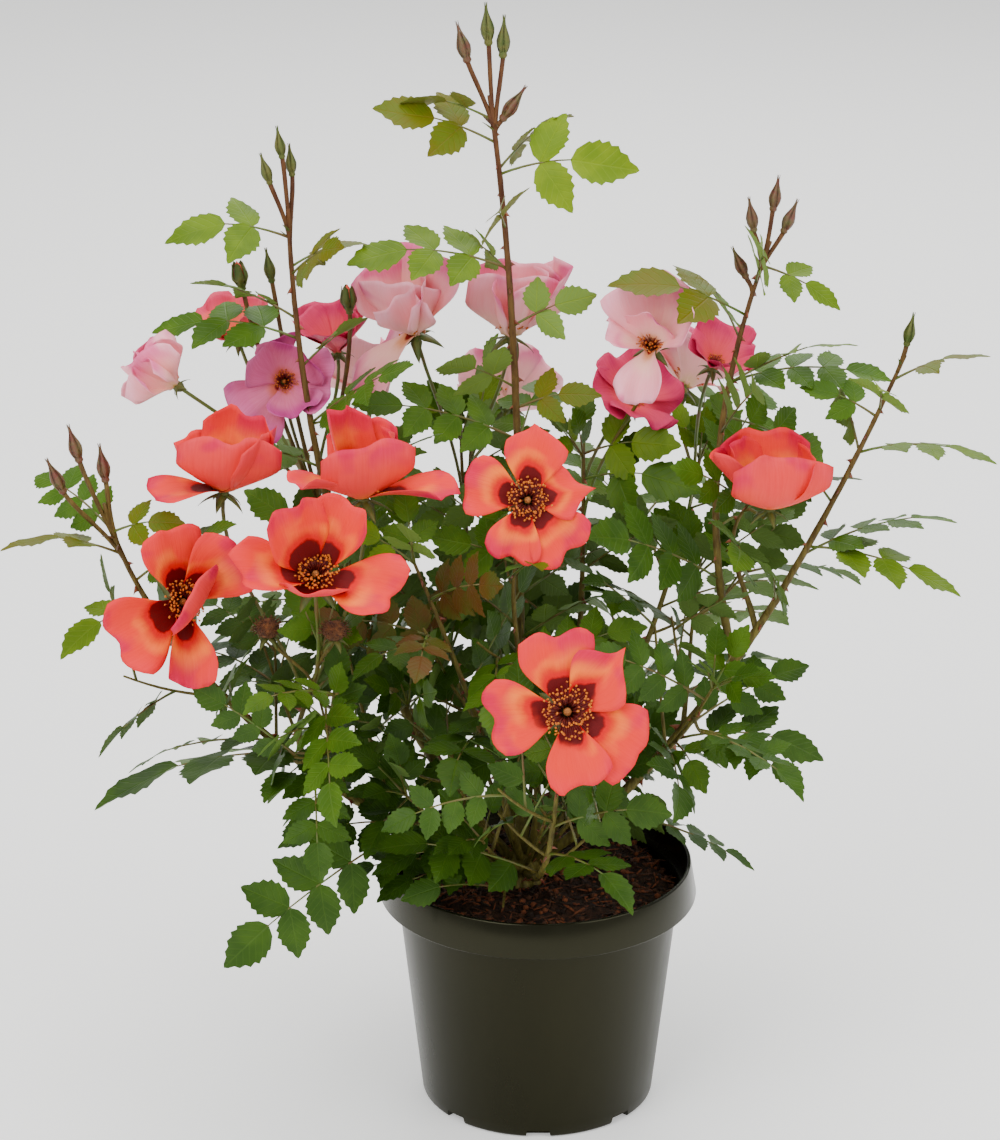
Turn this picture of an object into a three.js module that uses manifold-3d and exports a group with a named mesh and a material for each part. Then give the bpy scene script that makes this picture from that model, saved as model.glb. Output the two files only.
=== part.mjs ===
// A patio rose grown in its pot. Millimetres, +Z up, the origin at the middle of the pot's
// underside, and the side that the bush is shown from faces -Y.
//
// Canes spring from one grafted crown. The lower, bare length of each cane is a solid of its
// own, and the leafy length that grows on from it is another, with its twigs, leaves, flowers
// and buds fused on. All canes, shoots and leaves follow one rule, so every node keeps to its
// own space and nothing crosses its neighbour.
import * as THREE from 'three';
import { mergeVertices } from 'three/addons/utils/BufferGeometryUtils.js';
import Module from 'manifold-3d';

// ---- driving dimensions -------------------------------------------------------------
const RUNNING_GAP = 0.3;       // clearance between neighbouring solids

const POT_HEIGHT = 168;
const POT_FOOT_RADIUS = 77.5;
const POT_NECK_RADIUS = 94.1;  // outside of the wall where it runs under the collar
const COLLAR_RADIUS = 105.5;   // lower lip of the collar, the widest part of the pot
const COLLAR_DEPTH = 23.5;
const RIM_RADIUS = 101.5;
const WALL = 2.2;
const FLOOR_THICKNESS = 3.1;
const COLLAR_LEDGE = 5;        // height of the step between the wall and the collar
const POT_SIDES = 36;
const DRAINS = 8;
const DRAIN_WIDTH = 18;
const DRAIN_HEIGHT = 5;
const DRAIN_DEPTH = 12;        // through the wall's foot
const SOIL_LEVEL = 150;
const SOIL_CLEAR = 0.8;        // between the mix and the pot's wall, which has more sides
const SOIL_DROP = 3;           // how far the mix sinks where it meets the wall
const SOIL_FLAT = 0.8;         // share of its radius over which it is level

const CROWN_AT = new THREE.Vector3(-10, 4, SOIL_LEVEL);
const CROWN_RADIUS = 14;
const CROWN_HEIGHT = 21;
const CROWN_SIDES = 14;
const CROWN_PROFILE = [[1, 0.29], [0.9, 0.62], [0.55, 0.9]];  // share of its radius, of its height
const CROWN_FLARE = 1.15;      // radius where it meets the mix, as a share of the crown's
const CROWN_HEART_HEIGHT = 0.35;  // where the canes' lines meet, as a share of the crown's height

const CANE_SIDES = 6;
const CANE_STEPS = 4;          // lengths that the mesh of a cane or stem is made of
const STEM_SIDES = 5;
const SHOOT_LEAFLESS = 0.16;   // share of a side shoot below its first leaf
const SPRAY_STEPS = 3;
const SPRAY_FOOT = 1.9;        // radius
const SPRAY_TIP = 1.2;         // radius
const SPRAY_LIFT = 0.22;       // how far a spray's tip bends up, as a share of its reach
const SPRAY_LEAFLESS = 0.3;    // share of a spray from the crown below its first leaf
const SIDE_SPRAY_LEAFLESS = 0.12;  // the same for a spray from a cane

const TWIG_SIDES = 3;
const FOOT_RADIUS = 0.35;      // a leaf stalk or twig starts this thin inside its stem
const FLOWER_STALK = 1.4;      // radius
const HIP_STALK = 1.3;         // radius
const STALK_SPREAD = 5.5;      // distance along a stem between the feet of neighbouring stalks
const STALK_ROWS = 4;          // stalks that stand below one another before the next row starts
const STALK_SLANT = 0.5;       // how far below its end a stalk starts, as a share of its gap
const STALK_BEND = 0.35;       // how long a stalk keeps its first and last heading, of its reach
const STALK_TOP = 0.975;       // highest place of a stalk's foot, as a share of the stem
const STALK_SWELL = 0.3;       // share of a stalk over which it grows to its full radius

const BUD_SIDES = 3;
const BUD_PROFILE = [[0, 0.05], [0.28, 0.2], [0.62, 0.13], [1, 0.02]];  // share of its length, radius
const BUD_LEAN = 0.2;          // how far buds lean outward
const HIP_SIDES = 8;

const NODE_GAP = 47;           // from one leaf to the next along a stem
const GAP_LEAST = 0.8;         // the gap varies between these shares of it
const GAP_MOST = 1.1;
const FIRST_NODE = 0.3;        // the first leaf stands this share of a gap up the stem
const LAST_NODE = 0.97;        // no leaf above this share of the stem
const LEAF_TURN = 137.5;       // degrees round the stem from one leaf to the next
const LEAF_SLOPE = 56;         // degrees between a leaf stalk and its stem
const LEAF_ROLL = 32;          // greatest turn of a leaf's face about its midrib, in degrees
const LEAF_FLATTEN = 0.7;      // leaves that rise are bent down to this share of their rise
const LEAFLET = 40;            // length of a full-grown leaflet
const LEAFLET_BREADTH = 0.84;  // width of a leaflet, as a share of its length
const LEAF_THICKNESS = 0.9;
const WIDEST = 0.44;           // share of a leaflet's length where it is widest
const FOLD = 0.1;              // how far a leaflet's edges rise, as a share of its width
const SIDE_SIZE = 0.86;        // a side leaflet against the last one
const RIB_RADIUS = 0.8;        // half the width of a leaf's square midrib
const PAIR_ROOT = 1.3;         // half the width of a side leaflet's root
const PAIR_SPLAY = 62;         // degrees between a side leaflet and the leaf's midrib
const STALK = 0.62;            // bare stalk before the first pair; these three are shares of LEAFLET
const PAIR_STEP = 0.62;        // from one pair to the next
const LAST_STEP = 0.44;        // from the last pair to the root of the last leaflet
const DROOP = 0.2;             // how far a leaf's tip sinks, as a share of its reach
const FOOT_CLEAR = 6;          // length of a leaf's foot that may lie beside a neighbour's
const MIDRIB_STEPS = 2;
const FACE_UP = 0.6;           // leaves turn their faces up and outward, in these shares
const FACE_OUT = 0.8;
const TOP_LOSS = 0.25;         // how much smaller leaves are at a stem's tip
const FIVE_SHARE = 0.75;       // share of the leaves that have five leaflets, not three
const TURN_TRIES = 4;          // places round the stem that are tried for a leaf
const TRY_TURN = 75;           // degrees from one of those places to the next

const FLOWER_SIDES = 15;       // three points on the rim of each of five petals
const NOTCH = 0.74;            // reach of the gap between two petals, as a share of the flower's
const PETAL_SKIN = 1.3;
const EYE = 0.26;              // radius of the eye, as a share of the flower's
const EYE_RISE = 1.6;          // how far the eye stands up, in petal skins
const EYED_FLOWER = 40;        // radius from which a flower shows its eye

const colour = (hex, roughness) => new THREE.MeshStandardMaterial({ color: hex, roughness, metalness: 0 });
const POT_BLACK = colour(0x25251f, 0.32);
const SOIL_BROWN = colour(0x2c1a10, 0.95);
const BARK = colour(0x5d5a2c, 0.7);
const FOLIAGE = colour(0x3f6b22, 0.55);

// ---- the canes ----------------------------------------------------------------------
// bearing and rise (degrees) point a cane out of the crown, run is how far it keeps that way,
// bend and tip shape its arch, girth is its radius at foot and tip, bare is the leafless share.
const CANES = {
  left_low: { bearing: 195, rise: 14, run: 75, bend: [-245, -50, 300], tip: [-273, -60, 440],
    girth: [3.5, 1.5], bare: 0.47, seed: 11 },
  left_tall: { bearing: 166, rise: 42, run: 130, bend: [-155, 56, 390], tip: [-161, 60, 597],
    girth: [3.4, 1.4], bare: 0.26, seed: 12 },
  young: { bearing: 250, rise: 62, run: 70, bend: [-44, -50, 309], tip: [-80, -60, 402],
    girth: [2.6, 1.5], bare: 0.28, seed: 13 },
  centre_tall: { bearing: 100, rise: 74, run: 130, bend: [-4, 62, 470], tip: [-32, 60, 671],
    girth: [3.5, 1.4], bare: 0.2, seed: 14 },
  mid: { bearing: 330, rise: 66, run: 80, bend: [-28, -28, 330], tip: [-14, -36, 400],
    girth: [2.9, 1.6], bare: 0.3, seed: 15 },
  front: { bearing: 280, rise: 12, run: 55, bend: [6, -112, 200], tip: [12, -122, 290],
    girth: [2.8, 1.6], bare: 0.34, seed: 16 },
  right: { bearing: 352, rise: 36, run: 120, bend: [160, -6, 345], tip: [231, 0, 518],
    girth: [3.7, 1.2], bare: 0.56, seed: 17 },
  mid_right: { bearing: 42, rise: 52, run: 90, bend: [30, 72, 320], tip: [30, 82, 423],
    girth: [3.2, 1.6], bare: 0.28, seed: 18 },
  back_left: { bearing: 138, rise: 22, run: 90, bend: [-120, 118, 290], tip: [-160, 122, 409],
    girth: [3.2, 1.5], bare: 0.28, seed: 19 },
  back: { bearing: 100, rise: 30, run: 80, bend: [-50, 150, 290], tip: [-52, 168, 406],
    girth: [3.2, 1.5], bare: 0.28, seed: 20 },
  back_right: { bearing: 60, rise: 14, run: 90, bend: [90, 150, 270], tip: [112, 168, 392],
    girth: [3.2, 1.5], bare: 0.3, seed: 21 },
};

// Side shoots that leave the bare length of a cane: at is the share of the cane where they
// spring, run the distance they keep their first heading towards lean.
const SHOOTS = {
  left_mid: { cane: 'left_low', at: 0.42, lean: [-0.35, -0.3, 1], run: 45,
    bend: [-146, -72, 300], tip: [-137, -85, 352], girth: [2.4, 1.4], seed: 31 },
  upright: { cane: 'right', at: 0.47, lean: [-0.25, 0.2, 1], run: 70,
    bend: [104, 34, 456], tip: [147, 44, 580], girth: [2.6, 1.2], seed: 32 },
  inner: { cane: 'right', at: 0.53, lean: [-0.2, 0.6, 1], run: 35,
    bend: [112, 16, 385], tip: [136, -4, 422], girth: [2.2, 1.3], seed: 33 },
};

// Short leafy sprays that fill the foot of the bush. They spring from the crown, or from the
// side of a bare cane at a share of its length. Bearing and rise as above, reach is their length.
const SPRAYS = {
  low_left: { bearing: 222, rise: 30, reach: 118, seed: 41 },
  low_front_left: { bearing: 252, rise: 24, reach: 96, seed: 42 },
  low_front: { bearing: 285, rise: 40, reach: 74, seed: 43 },
  low_right: { bearing: 322, rise: 44, reach: 84, seed: 44 },
  low_east: { bearing: 26, rise: 34, reach: 92, seed: 45 },
  low_back_right: { bearing: 80, rise: 52, reach: 130, seed: 46 },
  low_back: { bearing: 128, rise: 52, reach: 130, seed: 47 },
  low_back_left: { bearing: 200, rise: 52, reach: 130, seed: 48 },
  left_inside: { cane: 'left_low', at: 0.24, bearing: 130, rise: 60, reach: 95, seed: 51 },
  left_outside: { cane: 'left_low', at: 0.34, bearing: 262, rise: 45, reach: 80, seed: 52 },
  right_outside: { cane: 'right', at: 0.27, bearing: 300, rise: 40, reach: 90, seed: 53 },
  right_inside: { cane: 'right', at: 0.34, bearing: 80, rise: 50, reach: 90, seed: 54 },
};

// Flowers: the node they grow in, their middle, the way the cup opens, radius and depth.
const FLOWERS = [
  { node: 'front', at: [16, -150, 337], facing: [0.05, -0.9, 0.42], radius: 51, cup: 0.16 },
  { node: 'mid', at: [-8, -62, 443], facing: [0.05, -0.9, 0.42], radius: 43, cup: 0.16 },
  { node: 'left_low', at: [-220, -95, 388], facing: [0.55, -0.75, 0.37], radius: 46, cup: 0.42 },
  { node: 'left_mid', at: [-138, -125, 422], facing: [0.05, -0.55, 0.83], radius: 47, cup: 0.5 },
  { node: 'left_mid', at: [-198, -40, 452], facing: [0.12, 0.06, 1], radius: 38, cup: 0.55 },
  { node: 'left_mid', at: [-112, -50, 452], facing: [-0.1, 0.04, 1], radius: 45, cup: 0.5 },
  { node: 'inner', at: [146, -25, 438], facing: [0.02, 0.05, 1], radius: 38, cup: 0.75 },
  { node: 'back_left', at: [-166, 70, 478], facing: [0.1, -0.85, 0.5], radius: 27, cup: 0.4 },
  { node: 'back_left', at: [-241, 40, 490], facing: [-0.7, -0.2, 0.6], radius: 20, cup: 0.8 },
  { node: 'back_left', at: [-135, 135, 484], facing: [-0.1, -0.2, 0.95], radius: 28, cup: 0.5 },
  { node: 'back_left', at: [-202, 140, 490], facing: [-0.2, -0.3, 0.9], radius: 26, cup: 0.5 },
  { node: 'back', at: [-84, 98, 513], facing: [-0.2, -0.3, 0.9], radius: 44, cup: 0.6 },
  { node: 'back', at: [-17, 112, 508], facing: [0.1, -0.1, 1], radius: 41, cup: 0.6 },
  { node: 'mid_right', at: [71, 35, 518], facing: [-0.1, -0.5, 0.85], radius: 33, cup: 0.55 },
  { node: 'mid_right', at: [62, 85, 461], facing: [0.3, -0.5, 0.6], radius: 29, cup: 0.3 },
  { node: 'back_right', at: [118, 110, 480], facing: [0.3, -0.3, 0.9], radius: 26, cup: 0.5 },
  { node: 'back_right', at: [104, 205, 436], facing: [0.4, 0.6, 0.7], radius: 36, cup: 0.4 },
  { node: 'back', at: [-20, 224, 414], facing: [0.1, 0.8, 0.5], radius: 38, cup: 0.35 },
  { node: 'back_left', at: [-120, 205, 430], facing: [-0.3, 0.7, 0.65], radius: 38, cup: 0.4 },
];

// Buds: the node and the middle of each bud, with its length.
const BUDS = [
  { node: 'centre_tall', at: [[-33, 62, 714], [-50, 58, 703], [-22, 66, 705], [-11, 60, 661]], length: 24 },
  { node: 'left_tall', at: [[-165, 62, 638], [-175, 56, 622], [-158, 68, 625]], length: 19 },
  { node: 'upright', at: [[149, 45, 609], [131, 40, 596], [161, 50, 592], [122, 38, 564]], length: 21 },
  { node: 'left_low', at: [[-290, -62, 478], [-272, -58, 464], [-303, -68, 458]], length: 23 },
  { node: 'right', at: [[233, 0, 533]], length: 20 },
  { node: 'back_left', at: [[-195, 90, 543], [-176, 100, 545]], length: 19 },
  { node: 'back', at: [[-122, 96, 524]], length: 24 },
];

// Spent flowers, each a round brown hip: its node, its middle and its radius.
const HIPS = [
  { node: 'left_mid', at: [-171, -80, 364], radius: 9 },
  { node: 'left_mid', at: [-128, -104, 372], radius: 9 },
];

// Leaves that reach out of the crown: node, foot, tip, pairs of leaflets, and tilt, the angle in
// degrees that the leaf's face is turned from straight up towards the front.
const REACHING = [
  { node: 'left_low', foot: [-264, -60, 402], tip: [-337, -75, 421], pairs: 1, tilt: -12 },
  { node: 'left_low', foot: [-252, -60, 369], tip: [-303, -90, 353], pairs: 1, tilt: 10 },
  { node: 'left_low', foot: [-268, -60, 422], tip: [-222, -74, 432], pairs: 1, tilt: 40 },
  { node: 'low_left', foot: [-98, -42, 208], tip: [-203, -110, 142], pairs: 3, tilt: 74 },
  { node: 'left_outside', foot: [-140, -55, 268], tip: [-286, -90, 250], pairs: 2, tilt: -12 },
  { node: 'right', foot: [206, -5, 455], tip: [291, -20, 453], pairs: 2, tilt: -10 },
  { node: 'right', foot: [168, -8, 392], tip: [271, -25, 364], pairs: 2, tilt: 6 },
  { node: 'right', foot: [222, -2, 500], tip: [284, -5, 522], pairs: 1, tilt: -8 },
  { node: 'right', foot: [216, -4, 480], tip: [166, 10, 496], pairs: 2, tilt: 0 },
  { node: 'right_outside', foot: [96, 4, 290], tip: [184, -60, 268], pairs: 2, tilt: 24 },
  { node: 'right_outside', foot: [64, -44, 260], tip: [104, -80, 253], pairs: 1, tilt: 60 },
  { node: 'upright', foot: [126, 36, 532], tip: [46, 25, 562], pairs: 1, tilt: -8 },
  { node: 'upright', foot: [140, 42, 566], tip: [193, 30, 540], pairs: 1, tilt: 16 },
  { node: 'upright', foot: [116, 34, 490], tip: [228, 30, 490], pairs: 3, tilt: -2 },
  { node: 'upright', foot: [108, 32, 470], tip: [190, 60, 424], pairs: 2, tilt: 50 },
  { node: 'centre_tall', foot: [-30, 60, 640], tip: [-106, 48, 664], pairs: 1, tilt: 4 },
  { node: 'centre_tall', foot: [-27, 60, 624], tip: [63, 45, 626], pairs: 1, tilt: 55 },
  { node: 'centre_tall', foot: [-24, 62, 557], tip: [-124, 40, 569], pairs: 2, tilt: -4 },
  { node: 'left_tall', foot: [-160, 60, 560], tip: [-112, 50, 581], pairs: 1, tilt: 6 },
  { node: 'left_tall', foot: [-161, 60, 578], tip: [-240, 50, 584], pairs: 1, tilt: 8 },
  { node: 'left_tall', foot: [-157, 58, 510], tip: [-255, 90, 505], pairs: 2, tilt: 6 },
];

// ---- joining ------------------------------------------------------------------------
const wasm = await Module();
wasm.setup();

function toSolid(geometry) {
  const bare = geometry.clone();
  bare.deleteAttribute('normal');
  bare.deleteAttribute('uv');
  const merged = mergeVertices(bare, 1e-4);
  return new wasm.Manifold(new wasm.Mesh({
    numProp: 3,
    vertProperties: new Float32Array(merged.attributes.position.array),
    triVerts: new Uint32Array(merged.index.array),
  }));
}

function toGeometry(solid) {
  const mesh = solid.getMesh();
  const geometry = new THREE.BufferGeometry();
  geometry.setAttribute('position', new THREE.BufferAttribute(mesh.vertProperties, 3));
  geometry.setIndex(new THREE.BufferAttribute(mesh.triVerts, 1));
  return geometry;
}

const joined = (solids) => wasm.Manifold.union(solids);

// The one connected body that a mass is: loose scraps are dropped.
function mainBody(solid) {
  return solid.decompose().reduce((best, body) => (body.volume() > best.volume() ? body : best));
}

// ---- small helpers ------------------------------------------------------------------
const UP = new THREE.Vector3(0, 0, 1);
const vector = (point) => new THREE.Vector3(...point);
const radians = THREE.MathUtils.degToRad;
const between = (from, to) => to.clone().sub(from).normalize();

// A direction from a compass bearing (degrees from +X towards +Y) and a rise above level.
function heading(bearing, rise) {
  const level = Math.cos(radians(rise));
  return new THREE.Vector3(
    level * Math.cos(radians(bearing)), level * Math.sin(radians(bearing)), Math.sin(radians(rise)));
}

// A row of evenly spread numbers that is the same on every run.
function draws(seed) {
  let state = (Math.imul(seed, 2654435761) + 97) >>> 0;
  const draw = (low, high) => {
    state = (Math.imul(state, 1664525) + 1013904223) >>> 0;
    return low + (high - low) * (state / 4294967296);
  };
  draw(0, 1);
  draw(0, 1);
  return draw;
}

// Any direction square to the one given, turned about it by an angle in degrees.
function squareTo(direction, turn) {
  const other = Math.abs(direction.z) < 0.9 ? UP : new THREE.Vector3(1, 0, 0);
  const side = new THREE.Vector3().crossVectors(other, direction).normalize();
  return side.applyAxisAngle(direction, radians(turn));
}

// ---- limbs --------------------------------------------------------------------------
// A round limb: a cylinder whose rings are set square to a curve. Each ring has the share of
// the curve's length where it sits and its radius.
function turned(curve, rings, sides) {
  const steps = rings.length - 1;
  const cylinder = new THREE.CylinderGeometry(1, 1, 1, sides, steps);
  const place = cylinder.attributes.position;
  const frames = [];
  let normal = squareTo(curve.getTangentAt(rings[0].share), 0);
  for (const { share, radius } of rings) {
    const tangent = curve.getTangentAt(share);
    normal = normal.clone().addScaledVector(tangent, -normal.dot(tangent)).normalize();
    const side = new THREE.Vector3().crossVectors(tangent, normal);
    frames.push({ middle: curve.getPointAt(share), normal, side, radius });
  }
  for (let i = 0; i < place.count; i += 1) {
    const frame = frames[Math.round((place.getY(i) + 0.5) * steps)];
    const point = frame.middle.clone()
      .addScaledVector(frame.normal, place.getZ(i) * frame.radius)
      .addScaledVector(frame.side, place.getX(i) * frame.radius);
    place.setXYZ(i, point.x, point.y, point.z);
  }
  return toSolid(cylinder);
}

// A limb that tapers evenly from one share of a curve to another.
function limb(curve, from, to, footRadius, tipRadius, sides, steps) {
  const rings = [];
  for (let step = 0; step <= steps; step += 1) {
    const share = from + (to - from) * step / steps;
    rings.push({ share, radius: footRadius + (tipRadius - footRadius) * step / steps });
  }
  return turned(curve, rings, sides);
}

// ---- leaves -------------------------------------------------------------------------
// A compound leaf is one closed skin. A square midrib runs from foot to tip and droops, pairs
// of leaflets are drawn out of its two sides, and its end is drawn out into the last leaflet.
// A leaflet is a blade of four points round its widest place, two edges lifted above a crest
// and a keel, and a tip. Runs along the midrib are shares of the last leaflet's length.
const leafReach = (pairs) => STALK + PAIR_STEP * (pairs - 1) + LAST_STEP + 1;

function layOutLeaf(foot, tip, pairs, look, roll) {
  const reach = foot.distanceTo(tip);
  const length = reach / leafReach(pairs);
  const lift = reach * DROOP * (1 - Math.abs(between(foot, tip).z));
  const knee = foot.clone().lerp(tip, 0.5).addScaledVector(UP, lift);
  const whole = new THREE.QuadraticBezierCurve3(foot, knee, tip);
  const frameAt = (run) => {
    const share = Math.min(1, Math.max(0, run / reach));
    const along = whole.getTangentAt(share);
    const face = look.clone().addScaledVector(along, -look.dot(along)).normalize()
      .applyAxisAngle(along, radians(roll));
    const across = new THREE.Vector3().crossVectors(face, along);
    return { middle: whole.getPointAt(share), along, face, across };
  };
  const blades = [];
  for (let pair = 0; pair < pairs; pair += 1) {
    const run = (STALK + PAIR_STEP * pair) * length;
    for (const side of [1, -1]) {
      const frame = frameAt(run);
      const heads = frame.along.clone().applyAxisAngle(frame.face, radians(side * PAIR_SPLAY));
      const root = frame.middle.clone().addScaledVector(frame.across, side * RIB_RADIUS);
      blades.push({ pair, side, run, root, heads, face: frame.face, length: length * SIDE_SIZE });
    }
  }
  const run = (leafReach(pairs) - 1) * length;
  const frame = frameAt(run);
  const heads = whole.getPointAt(1).sub(frame.middle).normalize();
  blades.push({ pair: pairs, side: 0, run, root: frame.middle, heads, face: frame.face, length });
  return { whole, reach, frameAt, blades, pairs };
}

// The four points round the widest place of a leaflet, and its tip.
function bladePoints(blade, spare = 0) {
  const across = new THREE.Vector3().crossVectors(blade.face, blade.heads).normalize();
  const out = new THREE.Vector3().crossVectors(blade.heads, across).normalize();
  const half = (blade.length * LEAFLET_BREADTH) / 2 + spare;
  const keel = blade.root.clone().addScaledVector(blade.heads, blade.length * WIDEST);
  const brow = keel.clone().addScaledVector(out, half * FOLD * 2);
  const edge = (side) => brow.clone().addScaledVector(across, side * half);
  return {
    near: edge(1),
    far: edge(-1),
    crest: keel.clone().addScaledVector(out, LEAF_THICKNESS / 2 + spare),
    under: keel.clone().addScaledVector(out, -LEAF_THICKNESS / 2 - spare),
    tip: blade.root.clone().addScaledVector(blade.heads, blade.length + spare),
  };
}

// The space that one leaflet takes, for keeping clear of it: a blade on its own.
function bladeSpace(blade) {
  const { near, far, crest, under, tip } = bladePoints(blade, RUNNING_GAP * 1.5);
  const space = new THREE.OctahedronGeometry(1);
  const place = space.attributes.position;
  const corners = [tip, blade.root, near, far, crest, under];
  for (let i = 0; i < place.count; i += 1) {
    const [x, y, z] = [place.getX(i), place.getY(i), place.getZ(i)];
    const ways = [x, -x, y, -y, z, -z];
    const corner = corners[ways.indexOf(Math.max(...ways))];
    place.setXYZ(i, corner.x, corner.y, corner.z);
  }
  return toSolid(space);
}

function leafBody(layout, kept) {
  const points = [];
  const faces = [];
  const add = (point) => points.push(point) - 1;
  const quad = (a, b, c, d) => faces.push([a, b, c], [a, c, d]);
  const ring = (run, half = RIB_RADIUS) => {
    const { middle, across, face } = layout.frameAt(run);
    const corners = [[1, 1], [-1, 1], [-1, -1], [1, -1]];
    return corners.map(([x, z]) => add(
      middle.clone().addScaledVector(across, x * half).addScaledVector(face, z * half)));
  };
  // Draws four corners out to a ring of four points, and those to the leaflet's tip.
  const drawOut = (corners, around, tip) => {
    const outer = around.map(add);
    const end = add(tip);
    corners.forEach((corner, i) => {
      const next = (i + 1) % 4;
      faces.push([corner, corners[next], outer[i]], [corners[next], outer[next], outer[i]]);
      faces.push([outer[i], outer[next], end]);
    });
  };
  let last = ring(0, FOOT_RADIUS);
  quad(last[3], last[2], last[1], last[0]);
  const join = (next, sides) => {
    for (const side of sides) quad(last[side], last[(side + 1) % 4], next[(side + 1) % 4], next[side]);
  };
  for (let pair = 0; pair < layout.pairs; pair += 1) {
    const both = kept.filter((blade) => blade.pair === pair);
    if (both.length) {
      const before = ring(both[0].run - PAIR_ROOT);
      join(before, [0, 1, 2, 3]);
      last = before;
      const after = ring(both[0].run + PAIR_ROOT);
      const left = both.find((blade) => blade.side === 1);
      const right = both.find((blade) => blade.side === -1);
      join(after, [0, 2].concat(left ? [] : [3], right ? [] : [1]));
      if (left) {
        const { near, far, crest, under, tip } = bladePoints(left);
        drawOut([last[3], last[0], after[0], after[3]], [near, crest, far, under], tip);
      }
      if (right) {
        const { near, far, crest, under, tip } = bladePoints(right);
        drawOut([last[1], last[2], after[2], after[1]], [far, under, near, crest], tip);
      }
      last = after;
    }
  }
  const end = kept.find((blade) => blade.side === 0);
  const neck = ring(end.run);
  join(neck, [0, 1, 2, 3]);
  const { near, far, crest, under, tip } = bladePoints(end);
  drawOut(neck, [crest, far, under, near], tip);
  const skin = new THREE.BufferGeometry().setFromPoints(points);
  skin.setIndex(faces.flat());
  return toSolid(skin);
}

// ---- flowers ------------------------------------------------------------------------
// Five petals in a cup: a bowl turned on a lathe, with its rim drawn in between petals, and a
// raised eye in the middle of a large one.
function flower(at, facing, radius, cup, spare = 0) {
  const rise = radius * cup;
  const skin = PETAL_SKIN + spare;
  const seat = at.clone().addScaledVector(facing, -rise / 2);
  const profile = [[0, -skin], [radius + spare, rise], [0, skin]];
  if (radius > EYED_FLOWER) profile.splice(2, 0, [radius * EYE, rise * EYE + skin * EYE_RISE]);
  const line = profile.map(([out, height]) => new THREE.Vector2(out, height));
  const bowl = new THREE.LatheGeometry(line, FLOWER_SIDES);
  const place = bowl.attributes.position;
  for (let i = 0; i < place.count; i += 1) {
    const turn = Math.atan2(place.getX(i), place.getZ(i));
    const out = Math.hypot(place.getX(i), place.getZ(i)) / radius;
    const notch = out > 0.8 && Math.round((turn / (2 * Math.PI)) * FLOWER_SIDES + FLOWER_SIDES) % 3 === 0;
    const draw = notch ? NOTCH : 1;
    place.setXYZ(i, place.getX(i) * draw, place.getY(i), place.getZ(i) * draw);
  }
  bowl.applyQuaternion(new THREE.Quaternion().setFromUnitVectors(new THREE.Vector3(0, 1, 0), facing));
  bowl.translate(seat.x, seat.y, seat.z);
  return toSolid(bowl);
}

// A spent flower's round hip.
function hip(at, radius) {
  const ball = new THREE.SphereGeometry(radius, HIP_SIDES, HIP_SIDES / 2 + 1);
  ball.translate(at.x, at.y, at.z);
  return toSolid(ball);
}

// ---- pot and soil -------------------------------------------------------------------
// A thrown-out collar on a tapering wall, and a floor with drain notches round its edge.
function makePot() {
  const lip = POT_HEIGHT - COLLAR_DEPTH;
  const profile = [
    [0, 0], [POT_FOOT_RADIUS, 0], [POT_NECK_RADIUS, lip + COLLAR_LEDGE],
    [COLLAR_RADIUS - WALL, lip + COLLAR_LEDGE], [COLLAR_RADIUS - WALL, lip], [COLLAR_RADIUS, lip],
    [RIM_RADIUS, POT_HEIGHT], [RIM_RADIUS - WALL, POT_HEIGHT],
    [POT_NECK_RADIUS + COLLAR_LEDGE - WALL / 2, lip + COLLAR_LEDGE + WALL * 2],
    [POT_NECK_RADIUS - WALL, lip], [POT_FOOT_RADIUS - WALL, FLOOR_THICKNESS], [0, FLOOR_THICKNESS],
  ].map(([radius, height]) => new THREE.Vector2(radius, height));
  const wall = new THREE.LatheGeometry(profile, POT_SIDES).rotateX(Math.PI / 2);
  const notches = [];
  for (let i = 0; i < DRAINS; i += 1) {
    const notch = new THREE.BoxGeometry(DRAIN_WIDTH, DRAIN_DEPTH, DRAIN_HEIGHT * 2);
    notch.translate(0, -POT_FOOT_RADIUS, 0).rotateZ((i / DRAINS) * 2 * Math.PI);
    notches.push(toSolid(notch));
  }
  return toSolid(wall).subtract(joined(notches));
}

// Potting mix filled to a little under the rim, drawn down where it meets the wall.
function makeSoil() {
  const lip = POT_HEIGHT - COLLAR_DEPTH;
  const clear = WALL + SOIL_CLEAR;
  const profile = [
    [0, FLOOR_THICKNESS + RUNNING_GAP], [POT_FOOT_RADIUS - clear, FLOOR_THICKNESS + RUNNING_GAP],
    [POT_NECK_RADIUS - clear, lip - COLLAR_LEDGE], [POT_NECK_RADIUS - clear, SOIL_LEVEL - SOIL_DROP],
    [POT_NECK_RADIUS * SOIL_FLAT, SOIL_LEVEL], [0, SOIL_LEVEL],
  ].map(([radius, height]) => new THREE.Vector2(radius, height));
  return toSolid(new THREE.LatheGeometry(profile, POT_SIDES / 2).rotateX(Math.PI / 2));
}

// ---- crown --------------------------------------------------------------------------
// The grafted knuckle that all canes spring from, flared at the soil and cut flat there.
function makeCrown(grow) {
  const radius = CROWN_RADIUS + grow;
  const profile = [
    [0, RUNNING_GAP - grow], [radius * CROWN_FLARE, RUNNING_GAP - grow],
    ...CROWN_PROFILE.map(([out, up]) => [radius * out, CROWN_HEIGHT * up + grow]), [0, CROWN_HEIGHT + grow],
  ].map(([out, height]) => new THREE.Vector2(out, height));
  const knuckle = new THREE.LatheGeometry(profile, CROWN_SIDES).rotateX(Math.PI / 2);
  knuckle.translate(CROWN_AT.x, CROWN_AT.y, CROWN_AT.z);
  return toSolid(knuckle);
}

// ---- growing ------------------------------------------------------------------------
const shapes = new Map();   // every finished node: its solid and its material
const grown = [];           // every limb, flower and leaf so far, for keeping clear of

function claim(owner, solid, kind) {
  grown.push({ owner, solid, kind, box: solid.boundingBox() });
}

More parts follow.
